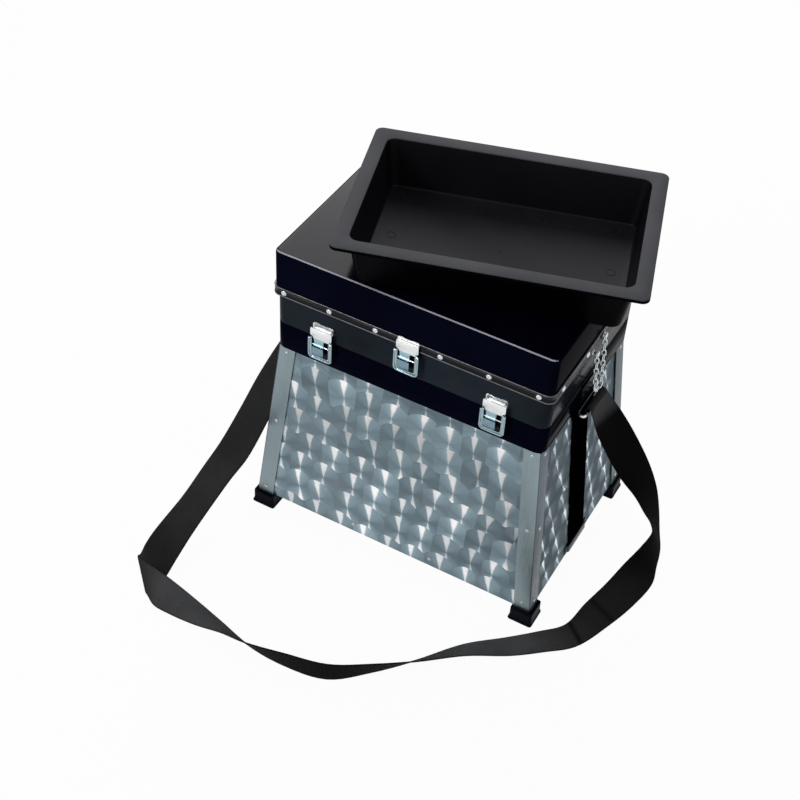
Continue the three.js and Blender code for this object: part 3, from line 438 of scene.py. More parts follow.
# Painted light and shade on lighter and darker lengths of the strap, by metres from the right ring,
# and the dips of its two sewn seams
STRAP_PAINTED_LIGHT_AND_SEAMS = [
    (0, 5.5), (0.022, 4.5), (0.04, 0.1), (0.16, 0.06), (0.25, 0.06), (0.33, 0.3), (0.43, 0.8),
    (0.449, 0.9), (0.4515, 0.35), (0.454, 0.9), (0.508, 1.3), (0.5115, 0.2), (0.515, 1.8),
    (0.6, 3.8), (0.67, 3.6), (0.73, 0.9), (0.8, 0.2), (0.95, 0.2), (0.985, 0.6), (1.03, 2.1),
    (1.07, 2.6), (1.14, 2.6), (1.178, 1.2), (1.21, 0.7), (1.3, 1.15), (1.5, 1.15), (1.7, 0.6),
]
WEBBING = woven("webbing", (0.027, 0.027, 0.0275), STRAP_PAINTED_LIGHT_AND_SEAMS)
# A lighter copy of the webbing for the folds: painted light
WEBBING_FOLD_PAINTED_LIGHT = woven("webbing_fold_painted_light", (0.085, 0.079, 0.07))
# A near-black copy of the webbing for the held run: painted shade
WEBBING_PAINTED_SHADE = woven("webbing_painted_shade", (0.0016, 0.0012, 0.0022), gloss=0.0)


# Mesh making
def finish_mesh(name, bm, material, body, replaces=(), sharp=32, other=()):
    """other is a list of further materials, each with the test of a face that takes it."""
    bmesh.ops.recalc_face_normals(bm, faces=bm.faces)
    bm.normal_update()
    for face in bm.faces:
        for index, (_, test) in enumerate(other):
            if test(face.calc_center_median(), face.normal):
                face.material_index = index + 1
    bm.transform(TO_FRAME)
    for face in bm.faces:
        face.smooth = True
    for edge in bm.edges:
        if len(edge.link_faces) == 2 and edge.calc_face_angle(0) > math.radians(sharp):
            edge.smooth = False
    mesh = bpy.data.meshes.new(name)
    bm.to_mesh(mesh)
    bm.free()
    piece = put_in_scene(name, mesh)
    mesh.materials.append(material)
    for further, _ in other:
        mesh.materials.append(further)
    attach(piece, body)
    if replaces:
        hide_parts(*replaces)
    return piece


def loft(bm, rings, looped=False, caps=True):
    loops = [[bm.verts.new(point) for point in ring] for ring in rings]
    count = len(loops[0])
    pairs = list(zip(loops, loops[1:]))
    if looped:
        pairs.append((loops[-1], loops[0]))
    for first, second in pairs:
        for side in range(count):
            turn = (side + 1) % count
            bm.faces.new((first[side], first[turn], second[turn], second[side]))
    if caps and not looped:
        bm.faces.new(list(reversed(loops[0])))
        bm.faces.new(loops[-1])
    return loops


def rounded_ring(half_x, half_y, radius, z, steps=10, centre=(0, 0)):
    ring = []
    for side_x, side_y, quarter in ((1, 1, 0), (-1, 1, 1), (-1, -1, 2), (1, -1, 3)):
        for step in range(steps + 1):
            angle = (quarter + step / steps) * math.pi / 2
            ring.append(Vector((
                centre[0] + side_x * (half_x - radius) + radius * math.cos(angle),
                centre[1] + side_y * (half_y - radius) + radius * math.sin(angle),
                z,
            )))
    return ring


def wall(bm, half_x, half_y, corner, section, looped=False, steps=10):
    """A rounded box whose wall goes through (inset, z) pairs."""
    loft(bm, [
        rounded_ring(half_x - inset, half_y - inset, max(corner - inset, 0.6), z, steps)
        for inset, z in section
    ], looped)


def soften_edges(bm, edges, offset, segments=2):
    bmesh.ops.bevel(
        bm, geom=list(edges), offset=offset, segments=segments, profile=0.5,
        affect="EDGES", clamp_overlap=True,
    )


def slab(bm, x0, x1, y0, y1, z0, z1, soften=0.0):
    made = bmesh.ops.create_cube(bm, size=1.0)["verts"]
    for vert in made:
        vert.co = Vector((
            x0 + (vert.co.x + 0.5) * (x1 - x0),
            y0 + (vert.co.y + 0.5) * (y1 - y0),
            z0 + (vert.co.z + 0.5) * (z1 - z0),
        ))
    if soften:
        soften_edges(bm, {edge for vert in made for edge in vert.link_edges}, soften)


def circle(centre, side, other, radius, sides):
    return [
        centre + (side * math.cos(a) + other * math.sin(a)) * radius
        for a in (2 * math.pi * k / sides for k in range(sides))
    ]


def rod(bm, start, end, radius, sides=20, soften=0.0):
    start, end = Vector(start), Vector(end)
    along = (end - start).normalized()
    side = along.orthogonal().normalized()
    other = along.cross(side)
    length = (end - start).length
    stations = [(0, radius), (length, radius)]
    if soften:
        stations = [
            (0, radius - soften), (soften, radius),
            (length - soften, radius), (length, radius - soften),
        ]
    loft(bm, [circle(start + along * t, side, other, r, sides) for t, r in stations])


def dome(bm, where, outward, radius, rise, sink=0.4, sides=18):
    """A rivet head with a rounded top."""
    where, outward = Vector(where), Vector(outward).normalized()
    side = outward.orthogonal().normalized()
    other = outward.cross(side)
    steps, waist = 5, 0.12
    angles = [k / steps * math.pi / 2 for k in range(1, steps)]
    stations = [(-sink, radius), (waist * rise, radius)] + [
        (rise * (waist + 0.88 * math.sin(a)), radius * math.cos(a)) for a in angles
    ]
    rings = [circle(where + outward * t, side, other, r, sides) for t, r in stations]
    loops = loft(bm, rings, caps=False)
    bm.faces.new(list(reversed(loops[0])))
    top = bm.verts.new(where + outward * rise)
    last = loops[-1]
    for k in range(sides):
        bm.faces.new((last[k], last[(k + 1) % sides], top))


def prism(bm, outline, to_point, depth0, depth1, soften=0.0, segments=2):
    """An outline of flat points, drawn out between two depths."""
    near = [bm.verts.new(to_point(a, b, depth0)) for a, b in outline]
    far = [bm.verts.new(to_point(a, b, depth1)) for a, b in outline]
    ends = [bm.faces.new(near), bm.faces.new(list(reversed(far)))]
    for k in range(len(outline)):
        turn = (k + 1) % len(outline)
        bm.faces.new((near[k], far[k], far[turn], near[turn]))
    if soften:
        soften_edges(bm, {edge for face in ends for edge in face.edges}, soften, segments)


def rounded(points, radii, steps=5):
    """A flat outline with its corners rounded."""
    result = []
    for k, (x, y) in enumerate(points):
        if radii[k] <= 0:
            result.append((x, y))
            continue
        here = Vector((x, y))
        before, after = Vector(points[k - 1]) - here, Vector(points[(k + 1) % len(points)]) - here
        half = before.normalized().angle(after.normalized()) / 2
        reach = min(radii[k] / math.tan(half), before.length * 0.49, after.length * 0.49)
        start = here + before.normalized() * reach
        end = here + after.normalized() * reach
        for step in range(steps + 1):
            t = step / steps
            point = start.lerp(here, t).lerp(here.lerp(end, t), t)
            result.append((point.x, point.y))
    return result


def tube(bm, points, radius, up, sides=10, closed=True):
    """A round wire along points that lie in a plane whose normal is up."""
    up = Vector(up).normalized()
    rings = []
    count = len(points)
    for k, point in enumerate(points):
        if closed:
            before, after = points[k - 1], points[(k + 1) % count]
        else:
            before, after = points[max(k - 1, 0)], points[min(k + 1, count - 1)]
        out = (Vector(after) - Vector(before)).cross(up).normalized()
        rings.append(circle(Vector(point), out, up, radius, sides))
    loft(bm, rings, looped=closed)


def span(side, near, far):
    """From near to far on one side of the middle, the lower number first."""
    return sorted((side * near, side * far))


# The shoulder strap from the right ring to the left one: its two edges, row by row
STRAP_ROUTE = [
    (217, 25, 300, 216, -25, 300), (225, 31, 284, 219, -18, 280),
    (241, 38, 259, 224, -9, 252), (262, 50, 217, 240, 6, 204),
    (285, 65, 161.5, 261.5, 23, 153.7), (299.5, 78, 110, 282.5, 34, 120.5),
    (308.8, 85, 60.4, 298.5, 44, 86.5), (317, 84, 19.5, 309.8, 54, 59),
    (328, 66, 5, 314.5, 49.3, 51), (336, 34, 4, 309, 26, 39.5),
    (343, 0.5, 4, 295.5, 6, 13.2), (335.5, -48.5, 4, 287, -40, 10.5),
    (319, -104, 5, 275, -81, 3), (297, -164, 12.5, 266, -130, 3),
    (265.5, -198.5, 18.5, 240, -159, 3), (230.5, -229.5, 21.5, 206, -192, 3),
    (182, -268, 32, 162, -232, 3), (132, -317, 41, 119, -290, 3),
    (87, -355, 48, 79, -337, 3), (39, -386, 50, 33, -378, 3),
    (-21, -399, 47, -32, -389, 3), (-72, -409, 44.5, -85, -386, 4.5),
    (-117, -403, 29, -139, -370.5, 3), (-163, -401, 13.5, -182, -359, 3),
    (-204, -399, 6, -219, -352, 6.5), (-233, -397, 5, -247, -349, 11.5),
    (-249, -388.5, 5.5, -287, -343, 11), (-255, -384, 4, -303, -338, 8),
    (-251, -380, 3, -302, -334, 7.5), (-249, -352, 2, -300, -322, 20),
    (-244, -325, 24, -295, -309, 35), (-237.5, -298, 49.5, -287.5, -293, 51.5),
    (-230.3, -262, 75, -279.3, -256, 71), (-221.5, -220, 103, -272, -213, 98),
    (-215, -187, 120, -265, -181, 121), (-210.6, -142, 155, -259, -136, 156.5),
    (-207, -112, 186, -254, -98, 190), (-207, -79, 215, -247, -51, 223),
    (-212, -52, 246, -236, -9, 252), (-219, -33, 276, -225, 16, 279),
    (-216, -25, 300, -217, 25, 300),
]
ROW_STEPS = 6


def smooth_line(points, steps):
    """The curve through the points, with equally many samples between each two."""
    points = [Vector(point) for point in points]
    points = [points[0] * 2 - points[1]] + points + [points[-1] * 2 - points[-2]]
    samples = []
    for k in range(1, len(points) - 2):
        p0, p1, p2, p3 = points[k - 1:k + 3]
        d0, d1, d2 = ((b - a).length ** 0.5 for a, b in ((p0, p1), (p1, p2), (p2, p3)))
        d1 = max(d1, 1e-4)
        d0, d2 = (d if d > 1e-4 else d1 for d in (d0, d2))
        t1 = ((p1 - p0) / d0 - (p2 - p0) / (d0 + d1) + (p2 - p1) / d1) * d1
        t2 = ((p2 - p1) / d1 - (p3 - p1) / (d1 + d2) + (p3 - p2) / d2) * d1
        for step in range(steps):
            t = step / steps
            samples.append(
                p1 + t1 * t + (p2 * 3 - p1 * 3 - t1 * 2 - t2) * t * t
                + (p1 * 2 - p2 * 2 + t1 + t2) * t * t * t
            )
    samples.append(points[-2])
    return samples


def webbing_band(name, rows, body, material, replaces=()):
    """A woven band through pairs of edge points, with rounded edges and lengths as its UV."""
    thickness, across = 2.0, 8
    profile = [(0.0, 0.0), (0.012, 0.34), (0.035, 0.5)]
    profile += [(k / across, 0.5) for k in range(1, across)]
    profile += [(0.965, 0.5), (0.988, 0.34), (1.0, 0.0)]
    profile += [(s, -t) for s, t in reversed(profile[1:-1])]
    bm = bmesh.new()
    uv = bm.loops.layers.uv.new("UVMap")
    rings, lengths, middles = [], [0.0], []
    for k, (near, far) in enumerate(rows):
        before = rows[max(k - 1, 0)]
        after = rows[min(k + 1, len(rows) - 1)]
        along = (after[0] + after[1]) - (before[0] + before[1])
        normal = along.cross(far - near).normalized()
        rings.append([near.lerp(far, s) + normal * (thickness * t) for s, t in profile])
        middles.append((near + far) / 2)
        if k:
            lengths.append(lengths[-1] + (middles[k] - middles[k - 1]).length * MM)
    where = {}
    for length, loop in zip(lengths, loft(bm, rings)):
        for vert, (s, _) in zip(loop, profile):
            where[vert] = (length, s * WEB_WIDTH)
    for face in bm.faces:
        for corner in face.loops:
            corner[uv].uv = where[corner.vert]
    piece = finish_mesh(name, bm, material, body, replaces, sharp=75)
    return piece, [TO_FRAME @ m for m in middles], lengths[-1]


strap_edges = [smooth_line([row[k:k + 3] for row in STRAP_ROUTE], ROW_STEPS) for k in (0, 3)]
strap, strap_path, strap_length = webbing_band(
    "strap_webbing", list(zip(*strap_edges)), "box", WEBBING, ("shoulder_strap",)
)


def band_from_side(name, line, material, shift=None, replaces=()):
    """A band whose run lies in the x-z plane, moved along y by shift(z)."""
    half = WEB_WIDTH / MM / 2
    rows = []
    for x, z in line:
        middle = shift(z) if shift else 0.0
        rows.append((Vector((x, middle - half, z)), Vector((x, middle + half, z))))
    webbing_band(name, rows, "box", material, replaces)


# The fold of the strap over the bar of each ring, in a lighter copy of the webbing for painted
# light
STRAP_FOLD = [
    (216.6, 296.0), (216.5, 298.6), (216.0, 300.8), (214.5, 302.6), (212.1, 303.3),
    (209.7, 302.4), (208.2, 300.4), (207.9, 298.4), (208.2, 296.6),
]
for hand, hand_name in ((1, "right"), (-1, "left")):
    band_from_side(f"strap_loop_{hand_name}", [(hand * x, z) for x, z in STRAP_FOLD], WEBBING_FOLD_PAINTED_LIGHT)


# Heights and half sizes of the box
SEAT, LID_BOTTOM = 465.0, 395.8
TIER_TOP, TIER_BOTTOM = 395.5, 347.3
RIM_TOP, RIM_BOTTOM = 347.0, 304.0
HALF_X, HALF_Y = 200.0, 137.5
TIER_X, TIER_Y = 198.0, 135.5
TIER_CORNER, LID_CORNER = 14, 10
MOULD_WALL = 3.0
TRIM_LOW, TRIM_HIGH, TRIM_FACE = 396.1, 409.6, 1.8
TIER_PIVOT, LID_PIVOT = 347.15, 395.65
RING_HEIGHT, RING_INNER, RING_OUTER = 299, 201.6, 211.6

# The posts' outer faces lean in from the boots' tops to the rim
BOOT_TOP, POST_BOTTOM, POST_TOP = 23.5, 5.3, 303.7
POST_LEG, POST_SHEET = 25.0, 2.0
FOOT_X, FOOT_Y = 221.2, 153
HEAD_X, HEAD_Y = 194.7, 132.2
SPLAY_X = (FOOT_X - HEAD_X) / (RIM_BOTTOM - BOOT_TOP)
SPLAY_Y = (FOOT_Y - HEAD_Y) / (RIM_BOTTOM - BOOT_TOP)
PANEL_BOTTOM, PANEL_TOP, PANEL_SET, PANEL_MARGIN = 24.3, 321.7, 2.3, 7
PANEL_FLANGE = 12
SHEET = 1.2
GAP = 0.3
HINGE_LENGTH = 320.0
KEEPER_HEIGHT, KEEPER_TOP = 33, 44
PANEL_RIVET, POST_RIVET, TRIM_RIVET = (2.8, 1.3), (3.0, 1.4), (4.0, 2.0)


def post_x(z):
    return FOOT_X - (z - BOOT_TOP) * SPLAY_X


def post_y(z):
    return FOOT_Y - (z - BOOT_TOP) * SPLAY_Y


def held_webbing():
    lie, lean, end = 1.3, 8.0, 295.7
    bend = end - 13

    def on_panel(z):
        return post_x(z) - PANEL_SET + lie

    half = [
        (RING_OUTER, end), (211.1, end - 2),
        ((RING_OUTER * 2 + on_panel(bend)) / 3, end - 4.5),
        ((RING_OUTER + on_panel(bend) * 2) / 3, end - 9), (on_panel(bend), bend),
        (on_panel(end - 20), end - 20), (on_panel(KEEPER_TOP), KEEPER_TOP),
        (on_panel(KEEPER_HEIGHT), KEEPER_HEIGHT), (on_panel(PANEL_BOTTOM), PANEL_BOTTOM + GAP),
        (on_panel(PANEL_BOTTOM) - 0.5, PANEL_BOTTOM - 1),
        (on_panel(PANEL_BOTTOM) - 2, PANEL_BOTTOM - 1.3),
    ]
    dense = []
    for (x0, z0), (x1, z1) in zip(half, half[1:]):
        steps = max(int(math.hypot(x1 - x0, z1 - z0) / 30), 1)
        shares = [s / steps for s in range(steps)]
        dense += [(x0 + (x1 - x0) * share, z0 + (z1 - z0) * share) for share in shares]
    dense.append(half[-1])
    # The held webbing takes the near-black copy of the webbing: painted shade
    band_from_side(
        "held_webbing_band", dense + [(-x, z) for x, z in reversed(dense)], WEBBING_PAINTED_SHADE,
        lambda z: -lean * max(z - KEEPER_TOP, 0) / (end - KEEPER_HEIGHT), ("held_webbing",),
    )


held_webbing()


def leaning_sheet(bm, reach_at, outer_at, to_corners):
    """to_corners(reach, inner, outer) gives the (x, y) corners of each end."""
    rings = []
    for z in (PANEL_BOTTOM, PANEL_TOP):
        reach, outer = reach_at(z) - PANEL_MARGIN, outer_at(z) - PANEL_SET
        rings.append([Vector((x, y, z)) for x, y in to_corners(reach, outer - SHEET, outer)])
    loft(bm, rings)


def long_panel(name, side, node):
    bm = bmesh.new()
    leaning_sheet(bm, post_x, post_y, lambda reach, inner, outer: (
        (-reach, side * inner), (reach, side * inner),
        (reach, side * outer), (-reach, side * outer),
    ))
    inner = post_y(PANEL_BOTTOM) - PANEL_SET - SHEET
    reach = post_x(PANEL_BOTTOM) - PANEL_SET - 12
    ys = span(side, inner + 0.5, inner - PANEL_FLANGE)
    slab(bm, -reach, reach, *ys, PANEL_BOTTOM, PANEL_BOTTOM + SHEET)
    finish_mesh(name, bm, TURNED_X, "box", (node,))
    bm = bmesh.new()
    z = PANEL_BOTTOM + 12
    for share in (-0.28, 0.28):
        spot = (share * post_x(z), side * (post_y(z) - PANEL_SET), z)
        dome(bm, spot, (0, side, SPLAY_Y), *PANEL_RIVET)
    finish_mesh(f"{name}_rivets", bm, NICKEL_DULL, "box")


def short_panel(name, side, node):
    bm = bmesh.new()
    leaning_sheet(bm, post_y, post_x, lambda reach, inner, outer: (
        (side * inner, -reach), (side * outer, -reach),
        (side * outer, reach), (side * inner, reach),
    ))
    # The side sheets take the copy with painted shade
    finish_mesh(name, bm, TURNED_Y_PAINTED_SHADE, "box", (node,))


def redress(node, material):
    nodes[node].data.materials.clear()
    nodes[node].data.materials.append(material)


long_panel("front_sheet", -1, "front_panel")
long_panel("back_sheet", 1, "back_panel")
short_panel("left_sheet", -1, "left_panel")
short_panel("right_sheet", 1, "right_panel")
redress("floor_panel", PLY)


def corner_post(post_name, sx, sy):
    bm = bmesh.new()
    leg, sheet, soft = POST_LEG, POST_SHEET, 0.7
    outline = rounded(
        [(0, 0), (-leg, 0), (-leg, -sheet), (-sheet, -sheet), (-sheet, -leg), (0, -leg)],
        [1.3, 0.5, 0.5, 0.6, 0.5, 0.5], 3,
    )
    rings = []
    for z, inset in (
        (POST_BOTTOM, soft), (POST_BOTTOM + soft, 0), (POST_TOP - soft, 0), (POST_TOP, soft * 0.5),
    ):
        x, y = post_x(z) - inset * 0.3, post_y(z) - inset * 0.3
        rings.append([Vector((sx * (x + u), sy * (y + v), z)) for u, v in outline])
    loft(bm, rings)
    # The legs' side faces take the darker copy: painted shade
    finish_mesh(
        f"post_{post_name}", bm, POST, "box", (f"corner_post_{post_name}",),
        other=((POST_SIDE_PAINTED_SHADE, lambda spot, facing: spot.x * sx > post_x(spot.z) - sheet - 0.3),),
    )
    bm = bmesh.new()
    for share in (0.045, 0.515, 0.965):
        z = BOOT_TOP + share * (RIM_BOTTOM - BOOT_TOP)
        x, y = post_x(z), post_y(z)
        dome(bm, (sx * (x - leg / 2), sy * y, z), (0, sy, SPLAY_Y), *POST_RIVET)
        dome(bm, (sx * x, sy * (y - leg / 2), z), (sx, 0, SPLAY_X), *POST_RIVET)
    finish_mesh(f"post_rivets_{post_name}", bm, NICKEL_DULL, "box")


def boot(post_name, sx, sy):
    bm = bmesh.new()
    pocket = (POST_LEG + (post_x(POST_BOTTOM) - post_x(BOOT_TOP))) / 2 + GAP
    rubber_wall = 2.8
    outer = pocket + rubber_wall
    centre = (
        sx * (post_x(POST_BOTTOM) + GAP - pocket), sy * (post_y(POST_BOTTOM) + GAP - pocket)
    )
    loft(bm, [
        rounded_ring(half, half, corner, z, 6, centre)
        for half, corner, z in (
            (outer - 0.4, 2.5, 0), (outer + 1.2, 3.2, 0.4), (outer + 1.7, 3.4, 1.4),
            (outer + 1.5, 3.4, 3.4), (outer + 0.6, 3.2, 5.0), (outer + 0.1, 3.2, 7.0),
            (outer, 3.2, 20.5), (outer - 0.15, 3.0, 22.6), (outer - 0.8, 2.4, BOOT_TOP),
            (pocket + 0.5, 1.4, BOOT_TOP), (pocket, 1.0, 23.0), (pocket, 1.0, 5.0),
        )
    ])
    finish_mesh(f"boot_{post_name}", bm, RUBBER, "box", (f"foot_{post_name}",))


for corner_name, corner_x, corner_y in (
    ("front_left", -1, -1), ("front_right", 1, -1), ("back_left", -1, 1), ("back_right", 1, 1),
):
    corner_post(corner_name, corner_x, corner_y)
    boot(corner_name, corner_x, corner_y)


# Black mouldings
def lower_rim():
    bm = bmesh.new()
    ledge = RIM_TOP - 21
    wall(bm, TIER_X, TIER_Y, TIER_CORNER, [
        (1.6, RIM_BOTTOM), (0.5, RIM_BOTTOM + 0.4), (0.0, RIM_BOTTOM + 1.6), (0.0, RIM_TOP - 1.4),
        (0.4, RIM_TOP - 0.4), (1.2, RIM_TOP), (MOULD_WALL, RIM_TOP), (MOULD_WALL, ledge),
        (12.0, ledge), (12.0, ledge - 3.5), (MOULD_WALL, ledge - 3.5), (MOULD_WALL, RIM_BOTTOM),
    ], looped=True)
    finish_mesh("rim_moulding", bm, BLACK_RIM, "box", ("lower_rim",))


def upper_tier():
    bm = bmesh.new()
    wall(bm, TIER_X, TIER_Y, TIER_CORNER, [
        (MOULD_WALL, TIER_BOTTOM + 2), (MOULD_WALL, TIER_BOTTOM), (1.2, TIER_BOTTOM),
        (0.4, TIER_BOTTOM + 0.4), (0.0, TIER_BOTTOM + 1.4), (0.0, TIER_TOP - 0.4),
        (0.4, TIER_TOP), (MOULD_WALL, TIER_TOP), (MOULD_WALL, TIER_BOTTOM + 5.5),
        (4.2, TIER_BOTTOM + 4.5),
    ])
    reach, back = HINGE_LENGTH / 2, HALF_Y + TRIM_FACE
    slab(bm, -reach, reach, TIER_Y - 1.5, back, TIER_TOP - 18, TIER_TOP - 0.2, 0.8)
    finish_mesh("tier_moulding", bm, BLACK_TIER, "upper_tier", ("tier_tray",))


def lid():
    bm = bmesh.new()
    edge = 4.0
    arc = [
        (edge * (1 - math.sin(a)), SEAT - edge * (1 - math.cos(a)))
        for a in (math.radians(15 * k) for k in range(7))
    ]
    wall(bm, HALF_X, HALF_Y, LID_CORNER, arc + [
        (0.0, LID_BOTTOM + 0.3), (0.3, LID_BOTTOM), (MOULD_WALL, LID_BOTTOM),
        (MOULD_WALL, SEAT - 5.0), (5.0, SEAT - 3.0),
    ], steps=12)

    # The front top edge takes the light copy: a painted highlight
    def on_painted_highlight_edge(spot, facing):
        return SEAT - 1.3 < spot.z < SEAT - 0.2 and facing.y < -0.3

    finish_mesh(
        "lid_moulding", bm, BLACK_LID, "lid", ("lid_shell",), sharp=24,
        other=(
            (LID_EDGE_PAINTED_HIGHLIGHT, on_painted_highlight_edge),
            (BLACK_LID_TOP, lambda spot, facing: spot.z > SEAT - 0.2),
        ),
    )


def trim():
    bm = bmesh.new()
    bead, face = 0.55, -TRIM_FACE
    wall(bm, HALF_X, HALF_Y, LID_CORNER, [
        (-0.3, TRIM_LOW), (-1.5, TRIM_LOW), (face - bead * 0.7, TRIM_LOW + 0.2),
        (face - bead, TRIM_LOW + 0.8), (face - bead * 0.6, TRIM_LOW + 1.4), (face, TRIM_LOW + 1.7),
        (face, TRIM_HIGH - 1.7), (face - bead * 0.6, TRIM_HIGH - 1.4),
        (face - bead, TRIM_HIGH - 0.8), (face - bead * 0.7, TRIM_HIGH - 0.2), (-1.5, TRIM_HIGH),
        (-0.3, TRIM_HIGH),
    ], looped=True, steps=12)
    middle, beads_from = (TRIM_LOW + TRIM_HIGH) / 2, (TRIM_HIGH - TRIM_LOW) / 2 - 1.8
    finish_mesh(
        "trim_strip", bm, BLACK_TRIM, "lid", ("lid_trim",), sharp=60,
        other=((TRIM_EDGE, lambda spot, facing: abs(spot.z - middle) > beads_from),),
    )
    bm = bmesh.new()
    behind_hinge = 163
    for side in (-1, 1):
        for k in range(3):
            for hand in (-1, 1):
                x = hand * (46.5 + 68 * k)
                if side < 0 or abs(x) > behind_hinge:
                    dome(bm, (x, side * (HALF_Y + TRIM_FACE), middle), (0, side, 0), *TRIM_RIVET)
        for count in (-1.5, -0.5, 0.5, 1.5):
            spot = (side * (HALF_X + TRIM_FACE), count * 73, middle)
            dome(bm, spot, (side, 0, 0), *TRIM_RIVET)
    finish_mesh("trim_rivets", bm, NICKEL, "lid")


lower_rim()
upper_tier()
lid()
trim()


def hinge(name, axis_y, axis_z, lower_body, upper_body):
    """A piano hinge: two leaves whose knuckles take turns along one pin."""
    length, count, radius, leaf_height = HINGE_LENGTH, 9, 3.5, 18
    plate = axis_y - radius
    for hand, odd, body in ((-1, 0, lower_body), (1, 1, upper_body)):
        bm = bmesh.new()
        zs = sorted((axis_z + hand * 4.1, axis_z + hand * leaf_height))
        slab(bm, -length / 2, length / 2, plate, plate + SHEET, *zs, 0.3)
        for k in range(odd, count, 2):
            x0 = -length / 2 + k * length / count + 0.15
            x1 = -length / 2 + (k + 1) * length / count - 0.15
            zs = sorted((axis_z, axis_z + hand * 5))
            slab(bm, x0, x1, plate, plate + SHEET, *zs)
            rod(bm, (x0, axis_y, axis_z), (x1, axis_y, axis_z), radius, 28, 0.35)
        for share in (-0.44, -0.15, 0.15, 0.44):
            spot = (share * length, plate + SHEET, axis_z + hand * leaf_height * 0.62)
            dome(bm, spot, (0, 1, 0), 2.6, 1.2)
        leaf = "lower" if hand < 0 else "upper"
        finish_mesh(
            f"{name}_{leaf}_plate", bm, NICKEL_DULL, body, (f"{name}_{leaf}_leaf",)
        )
    redress(f"{name}_pin", NICKEL_DULL)


hinge("tier_hinge", TIER_Y + 3.8, TIER_PIVOT, "box", "upper_tier")
hinge("lid_hinge", 143.1, LID_PIVOT, "upper_tier", "lid")


